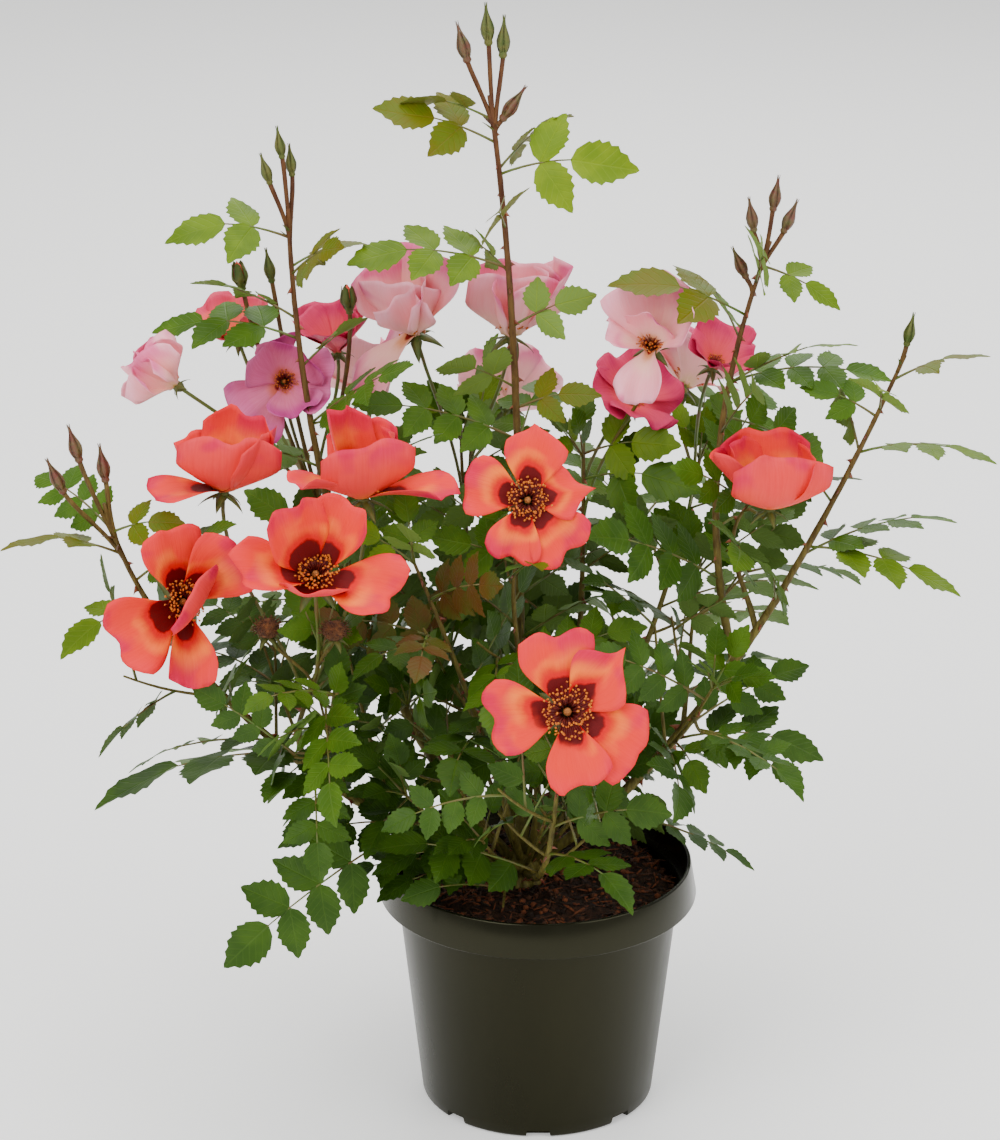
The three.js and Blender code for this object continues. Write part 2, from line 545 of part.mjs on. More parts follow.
function boxesMeet(a, b) {
  return [0, 1, 2].every((axis) => a.min[axis] < b.max[axis] && b.min[axis] < a.max[axis]);
}

// True where a part would touch anything grown so far. A part that springs from a limb of its own
// node passes that node's limbs.
function isBlocked(solid, passes) {
  const box = solid.boundingBox();
  return grown.some((other) => !(other.kind === 'limb' && other.owner === passes)
    && boxesMeet(box, other.box) && !solid.intersect(other.solid).isEmpty());
}

const masses = {};
const mass = (name) => {
  masses[name] ??= { parts: [] };
  return masses[name];
};

const crown = makeCrown(0);
const crownSpace = makeCrown(RUNNING_GAP);
const soil = makeSoil();
const pot = makePot();
shapes.set('pot', { solid: pot, material: POT_BLACK });
shapes.set('soil', { solid: soil, material: SOIL_BROWN });
shapes.set('crown', { solid: crown, material: BARK });
claim('pot', pot, 'pot');
claim('soil', soil, 'soil');
claim('crown', crownSpace, 'limb');

const CROWN_HEART = CROWN_AT.clone().addScaledVector(UP, CROWN_HEIGHT * CROWN_HEART_HEIGHT);

// Bare canes, then the stem of each leafy length.
for (const [name, cane] of Object.entries(CANES)) {
  const start = CROWN_HEART.clone();
  const first = start.clone().addScaledVector(heading(cane.bearing, cane.rise), cane.run);
  cane.curve = new THREE.CubicBezierCurve3(start, first, vector(cane.bend), vector(cane.tip));
  const [foot, tip] = cane.girth;
  const girthAt = (share) => foot + (tip - foot) * share;
  cane.girthAt = girthAt;
  const bough = limb(cane.curve, 0, cane.bare, foot, girthAt(cane.bare), CANE_SIDES, CANE_STEPS);
  cane.bough = bough.subtract(crownSpace);
  cane.boughSpace = limb(cane.curve, 0, cane.bare, foot + RUNNING_GAP, girthAt(cane.bare) + RUNNING_GAP,
    CANE_SIDES, CANE_STEPS);
  shapes.set(`${name}_cane`, { solid: mainBody(cane.bough), material: BARK });
  claim(`${name}_cane`, cane.boughSpace, 'limb');
}
for (const [name, cane] of Object.entries(CANES)) {
  const from = cane.bare + RUNNING_GAP / cane.curve.getLength();
  const stem = limb(cane.curve, from, 1, cane.girthAt(from), cane.girth[1], STEM_SIDES, CANE_STEPS);
  mass(name).parts.push(stem);
  mass(name).stem = { curve: cane.curve, from, girthAt: cane.girthAt, seed: cane.seed, stalks: 0 };
  claim(name, stem, 'limb');
}
for (const [name, shoot] of Object.entries(SHOOTS)) {
  const cane = CANES[shoot.cane];
  const start = cane.curve.getPointAt(shoot.at);
  const first = start.clone().addScaledVector(vector(shoot.lean).normalize(), shoot.run);
  const curve = new THREE.CubicBezierCurve3(start, first, vector(shoot.bend), vector(shoot.tip));
  const [foot, tip] = shoot.girth;
  const girthAt = (share) => foot + (tip - foot) * share;
  const stem = mainBody(limb(curve, 0, 1, foot, tip, STEM_SIDES, CANE_STEPS).subtract(cane.boughSpace));
  mass(name).parts.push(stem);
  mass(name).stem = { curve, from: SHOOT_LEAFLESS, girthAt, seed: shoot.seed, stalks: 0 };
  claim(name, stem, 'limb');
}
for (const [name, spray] of Object.entries(SPRAYS)) {
  const lean = heading(spray.bearing, spray.rise);
  const cane = CANES[spray.cane];
  const start = cane ? cane.curve.getPointAt(spray.at) : CROWN_HEART.clone();
  const first = start.clone().addScaledVector(lean, spray.reach * 0.5);
  const tip = start.clone().addScaledVector(lean, spray.reach).addScaledVector(UP, spray.reach * SPRAY_LIFT);
  const curve = new THREE.QuadraticBezierCurve3(start, first, tip);
  const girthAt = (share) => SPRAY_FOOT + (SPRAY_TIP - SPRAY_FOOT) * share;
  const whole = limb(curve, 0, 1, girthAt(0), girthAt(1), STEM_SIDES, SPRAY_STEPS);
  const stem = mainBody(whole.subtract(cane ? cane.boughSpace : crownSpace));
  mass(name).parts.push(stem);
  const from = cane ? SIDE_SPRAY_LEAFLESS : SPRAY_LEAFLESS;
  mass(name).stem = { curve, from, girthAt, seed: spray.seed, stalks: 0 };
  claim(name, stem, 'limb');
}

// The nearest place on a stem, as a share of its length.
function nearestShare(stem, point) {
  let best = stem.from;
  const gapAt = (share) => stem.curve.getPointAt(share).distanceTo(point);
  for (let share = stem.from; share <= 1; share += 0.02) {
    if (gapAt(share) < gapAt(best)) best = share;
  }
  return best;
}

// The curve of a stalk from a node's stem to a flower, a bud or a hip: it leaves the stem where
// it can bend gently up to its end, and each stalk of a node a little below the one before.
function stalkCurve(name, to, arrive) {
  const { stem } = mass(name);
  const span = stem.curve.getLength();
  const nearest = nearestShare(stem, to);
  const away = stem.curve.getPointAt(nearest).distanceTo(to);
  const below = away * STALK_SLANT + STALK_SPREAD * (stem.stalks % STALK_ROWS);
  stem.stalks += 1;
  const lowest = stem.from + STALK_SPREAD / span;
  const share = Math.max(lowest, Math.min(nearest - below / span, STALK_TOP));
  const foot = stem.curve.getPointAt(share);
  const reach = foot.distanceTo(to);
  return new THREE.CubicBezierCurve3(foot,
    foot.clone().addScaledVector(stem.curve.getTangentAt(share), reach * STALK_BEND),
    to.clone().addScaledVector(arrive, -reach * STALK_BEND), to);
}

// A bare stalk to a flower or a hip, and a stalk that swells into a pointed bud.
function stalk(curve, radius) {
  const rings = [{ share: 0, radius: FOOT_RADIUS }, { share: STALK_SWELL, radius }, { share: 1, radius }];
  return turned(curve, rings, TWIG_SIDES);
}

function budOnStalk(curve, length, spare = 0) {
  const span = curve.getLength();
  const rings = [{ share: 0, radius: FOOT_RADIUS }];
  for (const [share, radius] of BUD_PROFILE) {
    rings.push({ share: 1 - (length / span) * (1 - share), radius: radius * length + spare });
  }
  return turned(curve, rings, BUD_SIDES);
}

for (const show of FLOWERS) {
  const facing = vector(show.facing).normalize();
  const at = vector(show.at);
  const seat = at.clone().addScaledVector(facing, -show.radius * show.cup / 2);
  const curve = stalkCurve(show.node, seat, facing);
  mass(show.node).parts.push(stalk(curve, FLOWER_STALK));
  mass(show.node).parts.push(flower(at, facing, show.radius, show.cup));
  claim(show.node, flower(at, facing, show.radius, show.cup, RUNNING_GAP * 2), 'flower');
  claim(show.node, stalk(curve, FLOWER_STALK + RUNNING_GAP), 'limb');
}
for (const cluster of BUDS) {
  for (const point of cluster.at) {
    const at = vector(point);
    const away = new THREE.Vector3(at.x, at.y, 0).normalize().multiplyScalar(BUD_LEAN);
    const along = UP.clone().add(away).normalize();
    const curve = stalkCurve(cluster.node, at.clone().addScaledVector(along, cluster.length * 0.5), along);
    mass(cluster.node).parts.push(budOnStalk(curve, cluster.length));
    claim(cluster.node, budOnStalk(curve, cluster.length, RUNNING_GAP), 'limb');
  }
}
for (const spent of HIPS) {
  const at = vector(spent.at);
  mass(spent.node).parts.push(stalk(stalkCurve(spent.node, at, UP), HIP_STALK));
  mass(spent.node).parts.push(hip(at, spent.radius));
  claim(spent.node, hip(at, spent.radius + RUNNING_GAP), 'flower');
}

// Adds a leaf where it is free, and leaves out any side leaflet that would touch a neighbour.
function addLeaf(name, foot, tip, pairs, look, roll) {
  const layout = layOutLeaf(foot, tip, pairs, look, roll);
  const free = layout.blades.filter((blade) => !isBlocked(bladeSpace(blade)));
  const clear = RIB_RADIUS * Math.SQRT2 + RUNNING_GAP;
  const ribSpace = limb(layout.whole, FOOT_CLEAR / layout.reach, layout.blades.at(-1).run / layout.reach,
    clear, clear, CANE_SIDES, MIDRIB_STEPS);
  if (!free.some((blade) => blade.side === 0) || isBlocked(ribSpace, name)) return false;
  mass(name).parts.push(leafBody(layout, free));
  claim(name, ribSpace, 'leaf');
  for (const blade of free) claim(name, bladeSpace(blade), 'leaf');
  return true;
}

for (const reaching of REACHING) {
  const stem = mass(reaching.node).stem;
  const foot = stem.curve.getPointAt(nearestShare(stem, vector(reaching.foot)));
  const tip = vector(reaching.tip);
  const tilt = radians(reaching.tilt);
  const look = new THREE.Vector3(0, -Math.sin(tilt), Math.cos(tilt));
  addLeaf(reaching.node, foot, tip, reaching.pairs, look, 0);
}

// Leaves along every stem by one rule, each a turn further round it than the last. Where the
// place is taken the leaf is turned on round the stem, and left out if it fits nowhere.
for (const [name, { stem }] of Object.entries(masses)) {
  const draw = draws(stem.seed);
  const span = stem.curve.getLength();
  let turn = draw(0, 360);
  let run = stem.from * span + NODE_GAP * FIRST_NODE;
  while (run < span * LAST_NODE) {
    const share = run / span;
    const tangent = stem.curve.getTangentAt(share);
    const slope = radians(LEAF_SLOPE + draw(-8, 12));
    const size = LEAFLET * (1 - TOP_LOSS * share) * draw(0.85, 1.1);
    const pairs = draw(0, 1) < FIVE_SHARE ? 2 : 1;
    const roll = draw(-LEAF_ROLL, LEAF_ROLL);
    const foot = stem.curve.getPointAt(share);
    let added = false;
    for (let attempt = 0; attempt < TURN_TRIES && !added; attempt += 1) {
      const out = squareTo(tangent, turn + attempt * TRY_TURN);
      const lean = tangent.clone().multiplyScalar(Math.cos(slope)).addScaledVector(out, Math.sin(slope));
      lean.setZ(lean.z * LEAF_FLATTEN).normalize();
      const tip = foot.clone().addScaledVector(lean, size * leafReach(pairs));
      const outward = new THREE.Vector3(tip.x - CROWN_AT.x, tip.y - CROWN_AT.y, 0).normalize();
      const look = UP.clone().multiplyScalar(FACE_UP).addScaledVector(outward, FACE_OUT);
      added = addLeaf(name, foot, tip, pairs, look, roll);
    }
    turn += LEAF_TURN;
    run += NODE_GAP * draw(GAP_LEAST, GAP_MOST);
  }
}

for (const [name, { parts }] of Object.entries(masses)) {
  const kind = name in SPRAYS ? 'spray' : 'foliage';
  shapes.set(`${name}_${kind}`, { solid: mainBody(joined(parts)), material: FOLIAGE });
}

// ---- the bush in its pot ------------------------------------------------------------
const bush = new THREE.Group();
for (const [name, { solid, material }] of shapes) {
  const mesh = new THREE.Mesh(toGeometry(solid), material);
  mesh.name = name;
  bush.add(mesh);
}

export default bush;
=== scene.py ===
from math import cos, pi, radians, sin

import bmesh
import bpy
import numpy as np
from mathutils import Matrix, Vector, noise


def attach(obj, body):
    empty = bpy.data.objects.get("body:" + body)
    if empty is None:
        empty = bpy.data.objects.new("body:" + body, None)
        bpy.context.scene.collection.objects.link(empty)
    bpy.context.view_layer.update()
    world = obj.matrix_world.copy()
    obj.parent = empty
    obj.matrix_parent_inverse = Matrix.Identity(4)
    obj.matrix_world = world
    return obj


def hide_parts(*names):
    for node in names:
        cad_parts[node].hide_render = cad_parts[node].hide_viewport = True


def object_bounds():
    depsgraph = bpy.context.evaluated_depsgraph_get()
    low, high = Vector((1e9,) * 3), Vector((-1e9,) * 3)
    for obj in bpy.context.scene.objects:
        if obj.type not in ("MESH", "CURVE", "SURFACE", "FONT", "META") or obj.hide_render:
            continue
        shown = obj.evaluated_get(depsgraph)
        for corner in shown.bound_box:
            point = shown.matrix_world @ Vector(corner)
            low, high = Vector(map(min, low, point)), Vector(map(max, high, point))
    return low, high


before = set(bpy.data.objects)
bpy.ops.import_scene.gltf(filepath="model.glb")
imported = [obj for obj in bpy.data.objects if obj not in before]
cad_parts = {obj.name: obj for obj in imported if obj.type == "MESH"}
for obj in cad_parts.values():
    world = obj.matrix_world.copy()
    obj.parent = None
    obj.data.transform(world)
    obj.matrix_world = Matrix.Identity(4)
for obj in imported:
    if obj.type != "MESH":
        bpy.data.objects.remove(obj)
solids_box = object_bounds()

# ---- studio -------------------------------------------------------------------------
# The bush stands on a pale matt floor under large soft lamps, seen from a little above by a
# long lens, so its far leaves look no smaller than its near ones.
CAMERA_AT = (-0.0253, -2.3516, 1.2771)
CAMERA_DOWN = 21.0434            # degrees below level
LENS, SENSOR = 123.2, 36         # mm
FLOOR_HALF, FLOOR_DROP = 6, 0.0004
LAMPS_AIM = Vector((0, 0, 0.35))
LAMPS = {                        # place, width and power
    "lamp_left": ((-1.7, -2.0, 2.3), 2.2, 77),
    "lamp_right": ((2.1, -1.5, 1.7), 2.0, 40),
    "lamp_above": ((0.1, 0.3, 3.0), 2.6, 72),
    "lamp_behind": ((0.3, 2.4, 1.9), 2.0, 32),
}
WORLD_LIGHT = 0.62
WHITE = (1, 1, 1, 1)

scene = bpy.context.scene
lens = bpy.data.cameras.new("camera")
lens.lens, lens.sensor_width = LENS, SENSOR
camera = bpy.data.objects.new("camera", lens)
camera.location = CAMERA_AT
camera.rotation_euler = (radians(90 - CAMERA_DOWN), 0, 0)
scene.collection.objects.link(camera)
scene.camera = camera


def add_node(tree, kind, values=None, **settings):
    """A node of a shader tree. Values go to its inputs by name or number: an output socket is
    wired to its input, and anything else is set on it."""
    node = tree.nodes.new(kind)
    for name, setting in settings.items():
        setattr(node, name, setting)
    for socket, value in (values or {}).items():
        if isinstance(value, bpy.types.NodeSocket):
            tree.links.new(value, node.inputs[socket])
        else:
            node.inputs[socket].default_value = value
    return node


def new_finish(name, **sockets):
    """A material: its shader's plain values are given, and patterns are wired to it later."""
    material = bpy.data.materials.new(name)
    material.use_nodes = True
    shader = material.node_tree.nodes["Principled BSDF"]
    for socket, value in sockets.items():
        shader.inputs[socket.replace("_", " ")].default_value = value
    return material, material.node_tree, shader


def tint(red, green, blue):
    """A colour given in the usual steps of 0 to 255, as the shaders want it."""
    return tuple(((step / 255 + 0.055) / 1.055) ** 2.4 if step > 10 else step / 3295
                 for step in (red, green, blue)) + (1.0,)


def add_mesh(name, bm, finishes, smooth=True):
    """An object made of a bmesh, at the origin, with its finishes in their slots."""
    mesh = bpy.data.meshes.new(name)
    for face in bm.faces:
        face.smooth = smooth
    bm.to_mesh(mesh)
    bm.free()
    for finish in finishes:
        mesh.materials.append(finish)
    piece = bpy.data.objects.new(name, mesh)
    scene.collection.objects.link(piece)
    return piece


floor_finish, tree, shader = new_finish("studio_floor", Base_Color=tint(244, 244, 242), Roughness=0.65,
                                        Emission_Color=WHITE, Emission_Strength=0.35)
bm = bmesh.new()
bmesh.ops.create_grid(bm, x_segments=1, y_segments=1, size=FLOOR_HALF)
bmesh.ops.translate(bm, verts=bm.verts, vec=(0, 0, -FLOOR_DROP))
floor = add_mesh("floor", bm, [floor_finish])

for name, (place, size, power) in LAMPS.items():
    lamp = bpy.data.lights.new(name, "AREA")
    lamp.size, lamp.energy = size, power
    holder = bpy.data.objects.new(name, lamp)
    holder.location = place
    holder.rotation_euler = (LAMPS_AIM - Vector(place)).to_track_quat("-Z", "Y").to_euler()
    scene.collection.objects.link(holder)
world = bpy.data.worlds.new("studio")
world.use_nodes = True
sky = world.node_tree.nodes["Background"].inputs
sky["Color"].default_value, sky["Strength"].default_value = WHITE, WORLD_LIGHT
scene.world = world

# ---- pot ----------------------------------------------------------------------------
# A black nursery pot, injection-moulded: a thin tapering wall, a deep thrown-out collar at
# the top and eight drain notches round its foot. Its skin is glossy with faint flow marks.
MM = 0.001
POT_HEIGHT = 168
POT_FOOT = 77.5
POT_NECK = 94.1
COLLAR = 105.5
COLLAR_DEPTH = 23.5
RIM = 101.5
WALL = 2.2
DRAINS = 8
DRAIN_WIDTH, DRAIN_LENGTH, DRAIN_HEIGHT = 18, 12, 5
DRAIN_TAPER = 0.82
CREASE = radians(32)             # edges that turn more than this stay sharp


def spun(profile, steps, rounding=()):
    """A ring or cup, closed: a profile of radius and height in mm, spun round +Z. Rounding
    gives radii in mm for the corners of the profile, by their number."""
    bm = bmesh.new()
    corners = [bm.verts.new((radius * MM, 0, height * MM)) for radius, height in profile]
    for near, far in zip(corners, corners[1:]):
        bm.edges.new((near, far))
    for corner, radius in rounding:
        bmesh.ops.bevel(bm, geom=[corners[corner]], offset=radius * MM, offset_type="OFFSET", segments=3,
                        profile=0.5, affect="VERTICES", material=-1)
    bmesh.ops.spin(bm, geom=bm.verts[:] + bm.edges[:], axis=(0, 0, 1), cent=(0, 0, 0), steps=steps,
                   angle=2 * pi, use_merge=True, use_duplicate=False)
    bmesh.ops.remove_doubles(bm, verts=bm.verts, dist=1e-6)
    bmesh.ops.recalc_face_normals(bm, faces=bm.faces)
    return bm


lip = POT_HEIGHT - COLLAR_DEPTH
bm = spun([
    (0, 0), (POT_FOOT, 0), (POT_FOOT + (POT_NECK - POT_FOOT) * 9 / (lip + 5), 9), (POT_NECK, lip + 5),
    (COLLAR - WALL, lip + 5), (COLLAR - WALL, lip), (COLLAR, lip),
    (RIM, POT_HEIGHT), (RIM - WALL, POT_HEIGHT), (POT_NECK + 3.5, lip + 9), (POT_NECK - WALL, lip),
    (POT_FOOT - WALL, WALL * 1.4), (0, WALL * 1.4),
], 144, [(1, 2.0), (6, 1.0), (7, 1.1), (8, 0.9)])
pot = add_mesh("pot_moulded", bm, [])
bm = bmesh.new()
for number in range(DRAINS):
    notch = bmesh.ops.create_cube(bm, size=1)["verts"]
    bmesh.ops.scale(bm, verts=notch, vec=(DRAIN_WIDTH * MM, DRAIN_LENGTH * MM, DRAIN_HEIGHT * 2 * MM))
    tops = [corner for corner in notch if corner.co.z > 0]
    bmesh.ops.scale(bm, verts=tops, vec=(DRAIN_TAPER, 1, 1))
    bmesh.ops.translate(bm, verts=notch, vec=(0, -POT_FOOT * MM, 0))
    bmesh.ops.rotate(bm, verts=notch, cent=(0, 0, 0), matrix=Matrix.Rotation(2 * pi * number / DRAINS, 3, "Z"))
notches = add_mesh("notches", bm, [])
cut = pot.modifiers.new("drains", "BOOLEAN")
cut.operation, cut.solver, cut.object = "DIFFERENCE", "EXACT", notches
cut_mesh = bpy.data.meshes.new_from_object(pot.evaluated_get(bpy.context.evaluated_depsgraph_get()))
pot.modifiers.clear()
pot.data = cut_mesh
bpy.data.objects.remove(notches)


def new_group(name, vectors, colours, numbers, gives):
    """A shader node group that takes vectors, colours and numbers (with their usual values) and
    gives a colour and a number: the group, what it takes in and what it gives out."""
    group = bpy.data.node_groups.new(name, "ShaderNodeTree")
    for kind, sockets in (("Vector", vectors), ("Color", colours), ("Float", numbers)):
        for socket in sockets:
            made = group.interface.new_socket(socket, in_out="INPUT", socket_type=f"NodeSocket{kind}")
            if kind == "Float":
                made.default_value = numbers[socket]
    for socket, kind in zip(gives, ("Color", "Float")):
        group.interface.new_socket(socket, in_out="OUTPUT", socket_type=f"NodeSocket{kind}")
    return group, group.nodes.new("NodeGroupInput").outputs, group.nodes.new("NodeGroupOutput").inputs


def mixed(tree, share, first, second, **settings):
    """Two colours mixed by a share of the second."""
    return add_node(tree, "ShaderNodeMix", {0: share, 6: first, 7: second}, data_type="RGBA",
                    **settings).outputs[2]


# Mottling: two tones of one colour in soft clouds with finer grain in them.
mottle, taken_in, given_out = new_group("mottling", ["Vector"], ["First", "Second"], {"Scale": 20.0},
                                        ["Color", "Mask"])
clouds = add_node(mottle, "ShaderNodeTexNoise", {"Vector": taken_in["Vector"], "Scale": taken_in["Scale"],
                                                 "Detail": 5.0, "Roughness": 0.6})
spread = add_node(mottle, "ShaderNodeMapRange", {"Value": clouds.outputs["Fac"], "From Min": 0.35,
                                                 "From Max": 0.65}, clamp=True).outputs["Result"]
mottle.links.new(mixed(mottle, spread, taken_in["First"], taken_in["Second"]), given_out["Color"])
mottle.links.new(spread, given_out["Mask"])


def add_mottling(tree, vector, scale, first, second):
    """The mottling group in a material's tree, fed with a vector and two colours."""
    return add_node(tree, "ShaderNodeGroup", {"Vector": vector, "Scale": scale, "First": tint(*first),
                                              "Second": tint(*second)}, node_tree=mottle).outputs


def add_bump(tree, height, shader, distance, strength=1.0):
    """Relief too fine for the mesh, in metres of height."""
    bump = add_node(tree, "ShaderNodeBump", {"Distance": distance, "Strength": strength, "Height": height})
    tree.links.new(bump.outputs["Normal"], shader.inputs["Normal"])


def object_place(tree, scale=(1, 1, 1)):
    """Object coordinates in metres, stretched by a Mapping node."""
    place = add_node(tree, "ShaderNodeTexCoord").outputs["Object"]
    return add_node(tree, "ShaderNodeMapping", {"Scale": scale, "Vector": place}).outputs["Vector"]


pot.data.materials.clear()
for name, first, second, low, high, shine in [
    ("black_plastic", (13, 12, 4), (19, 18, 7), 0.26, 0.38, 0.2),
    ("collar_plastic", (7, 7, 3), (12, 12, 6), 0.16, 0.26, 0.26),
]:
    plastic, tree, shader = new_finish(name, Specular_IOR_Level=shine, Specular_Tint=tint(255, 252, 205))
    flow = add_mottling(tree, object_place(tree, (1, 1, 0.3)), 16.0, first, second)
    tree.links.new(flow["Color"], shader.inputs["Base Color"])
    gloss = add_node(tree, "ShaderNodeMapRange", {"Value": flow["Mask"], "To Min": low, "To Max": high})
    tree.links.new(gloss.outputs["Result"], shader.inputs["Roughness"])
    pot.data.materials.append(plastic)
creases = bmesh.new()
creases.from_mesh(pot.data)
for edge in creases.edges:
    edge.smooth = len(edge.link_faces) == 2 and edge.calc_face_angle(0) < CREASE
for face in creases.faces:
    face.smooth = True
    middle = face.calc_center_median() / MM
    face.material_index = int(middle.z > lip - 0.1 and Vector((middle.x, middle.y)).length > POT_NECK + 1)
creases.to_mesh(pot.data)
creases.free()
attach(pot, "root")
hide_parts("pot")

# ---- potting mix --------------------------------------------------------------------
# Dark peaty mix filled to a little under the rim, crumbly on top, with shreds of reddish
# composted bark lying in it every way.
SOIL_LEVEL = 150
SOIL_RINGS = 26
SOIL_SHREDS = 620
SOIL_CRUMBS = 520
CRUMB_SEED = 5           # any but 0, which would seed from the clock
LITTER_REACH = 90                # radius of the mix that shreds and crumbs lie on


def draws(seed):
    """A row of evenly spread numbers that is the same on every run."""
    state = (seed * 2654435761 + 97) & 0xFFFFFFFF

    def draw(low, high):
        nonlocal state
        state = (state * 1664525 + 1013904223) & 0xFFFFFFFF
        return low + (high - low) * state / 4294967296

    draw(0, 1)
    draw(0, 1)
    return draw


def soil_height(x, y):
    """Height of the mix in mm over a place in mm: lumps, falling off to the wall."""
    out = (x * x + y * y) ** 0.5
    lumps = 5.5 * noise.fractal(Vector((x / 26, y / 26, 3.1)), 0.9, 2.1, 4)
    return SOIL_LEVEL + lumps + 1.5 - 5 * max(0.0, (out - 78) / 14) ** 2


def mottled_finish(name, scale, first, second, bump=0.0, stretch=(1, 1, 1), **sockets):
    """A material of one mottled colour. Bump is the height in metres of its fine relief."""
    material, tree, shader = new_finish(name, **sockets)
    mottled = add_mottling(tree, object_place(tree, stretch), scale, first, second)
    tree.links.new(mottled["Color"], shader.inputs["Base Color"])
    if bump:
        add_bump(tree, mottled["Mask"], shader, bump)
    return material


soil_radius = POT_NECK - WALL - 1
rings = [(soil_radius * (1 - step / SOIL_RINGS), SOIL_LEVEL) for step in range(SOIL_RINGS + 1)]
bm = spun([(0, 4), (POT_FOOT - WALL - 1.2, 4), (soil_radius - 0.4, lip - 1)] + rings, 90)
for corner in bm.verts:
    if corner.co.z > (SOIL_LEVEL - 1) * MM:
        corner.co.z = soil_height(corner.co.x / MM, corner.co.y / MM) * MM
peat = mottled_finish("peat", 260.0, (24, 15, 10), (62, 38, 24), 0.0012,
                      Roughness=0.95, Specular_IOR_Level=0.25)
soil = add_mesh("soil_bed", bm, [peat])
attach(soil, "root")
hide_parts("soil")


class Shape:
    """A small shape that is used many times, held as arrays in its own unit size."""

    def __init__(self, bm):
        bm.verts.index_update()
        self.points = np.array([corner.co for corner in bm.verts])
        self.sizes = np.array([len(face.verts) for face in bm.faces])
        self.corners = np.array([corner.index for face in bm.faces for corner in face.verts])
        self.finish = np.array([face.material_index for face in bm.faces])
        bm.free()


class Batch:
    """Copies of small shapes, gathered to be joined into one piece."""

    def __init__(self):
        self.points, self.corners, self.sizes, self.finish, self.chart, self.sharp = [], [], [], [], [], []
        self.count = 0

    def add(self, shape, placed, finish=0, chart=None, sharp=None):
        """Placed is every copy's points in mm. Finish is a number for each copy, chart a place
        on the surface for each point, sharp a mark on the points of a sharp rim."""
        placed = np.asarray(placed, float).reshape(-1, len(shape.points), 3)
        copies = len(placed)
        starts = self.count + np.arange(copies) * len(shape.points)
        self.points.append(placed.reshape(-1, 3))
        self.corners.append((shape.corners + starts[:, None]).ravel())
        self.sizes.append(np.tile(shape.sizes, copies))
        numbers = np.broadcast_to(np.reshape(finish, (-1, 1)), (copies, 1))
        self.finish.append((shape.finish + numbers).ravel())
        chart = np.zeros((len(shape.points), 2)) if chart is None else chart
        self.chart.append(np.tile(chart[shape.corners], (copies, 1)))
        sharp = np.zeros(len(shape.points), bool) if sharp is None else sharp
        self.sharp.append(np.tile(sharp, copies))
        self.count += copies * len(shape.points)

    def piece(self, name, finishes, slot, *nodes):
        """The joined piece, riding with the bush and standing for its nodes."""
        corners = np.concatenate(self.corners)
        sizes = np.concatenate(self.sizes)
        mesh = bpy.data.meshes.new(name)
        mesh.vertices.add(self.count)
        mesh.vertices.foreach_set("co", (np.concatenate(self.points) * MM).ravel())
        mesh.loops.add(len(corners))
        mesh.loops.foreach_set("vertex_index", corners)
        mesh.polygons.add(len(sizes))
        mesh.polygons.foreach_set("loop_start", np.concatenate([[0], np.cumsum(sizes)[:-1]]))
        mesh.polygons.foreach_set("material_index", np.concatenate(self.finish))
        mesh.uv_layers.new(name="surface").data.foreach_set("uv", np.concatenate(self.chart).ravel())
        mesh.update(calc_edges=True)
        mesh.polygons.foreach_set("use_smooth", np.ones(len(sizes), bool))
        sharp = np.concatenate(self.sharp)
        if sharp.any():
            ends = np.zeros(len(mesh.edges) * 2, int)
            mesh.edges.foreach_get("vertices", ends)
            ends = ends.reshape(-1, 2)
            rim = mesh.attributes.new("sharp_edge", "BOOLEAN", "EDGE")
            rim.data.foreach_set("value", sharp[ends[:, 0]] & sharp[ends[:, 1]])
        for finish in finishes:
            mesh.materials.append(finish)
        piece = bpy.data.objects.new(name, mesh)
        scene.collection.objects.link(piece)
        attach(piece, "root")
        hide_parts(*nodes)
        return piece


def cut_long_edges(bm, axis, cuts):
    """Cuts the edges of a small shape that run along an axis, by its number."""
    long = [edge for edge in bm.edges if abs(edge.verts[0].co[axis] - edge.verts[1].co[axis]) > 0.5]
    bmesh.ops.subdivide_edges(bm, edges=long, cuts=cuts)


bm = bmesh.new()
bmesh.ops.create_cube(bm, size=1)
cut_long_edges(bm, 0, 2)
for corner in bm.verts:
    thin = 1 - 1.3 * abs(corner.co.x)
    corner.co.y = corner.co.y * thin + 0.5 * (corner.co.x + 0.2) ** 2
    corner.co.z *= thin
shred = Shape(bm)
bm = bmesh.new()
bmesh.ops.create_icosphere(bm, subdivisions=1, radius=1)
noise.seed_set(CRUMB_SEED)
for corner in bm.verts:
    corner.co *= 0.8 + 0.35 * noise.random()
crumb = Shape(bm)
draw = draws(5)
litter = Batch()
for number in range(SOIL_SHREDS + SOIL_CRUMBS):
    out = LITTER_REACH * draw(0, 1) ** 0.5
    turn = draw(0, 2 * pi)
    x, y = out * cos(turn), out * sin(turn)
    if number < SOIL_SHREDS:
        shape, size = shred, (draw(5, 19), draw(1.0, 2.4), draw(0.7, 1.5))
        tip = draw(-0.35, 0.35)
    else:
        shape, size, tip = crumb, [draw(0.8, 2.6)] * 3, 0
    pose = Matrix.Rotation(draw(0, 2 * pi), 3, "Z") @ Matrix.Rotation(tip, 3, "Y") @ Matrix.Diagonal(size)
    at = (x, y, soil_height(x, y) + 0.5)
    litter.add(shape, shape.points @ np.array(pose).T + at, int(draw(0, 2.99)))
litter.piece("soil_bark_shreds", [
    mottled_finish(f"bark_shred_{name}", 420.0, first, second, 0.0004, Roughness=0.85, Specular_IOR_Level=0.3)
    for name, first, second in [("red", (88, 44, 24), (120, 66, 36)), ("brown", (52, 30, 18), (84, 50, 30)),
                                ("dark", (28, 18, 12), (48, 30, 20))]], "potting_mix", "soil")

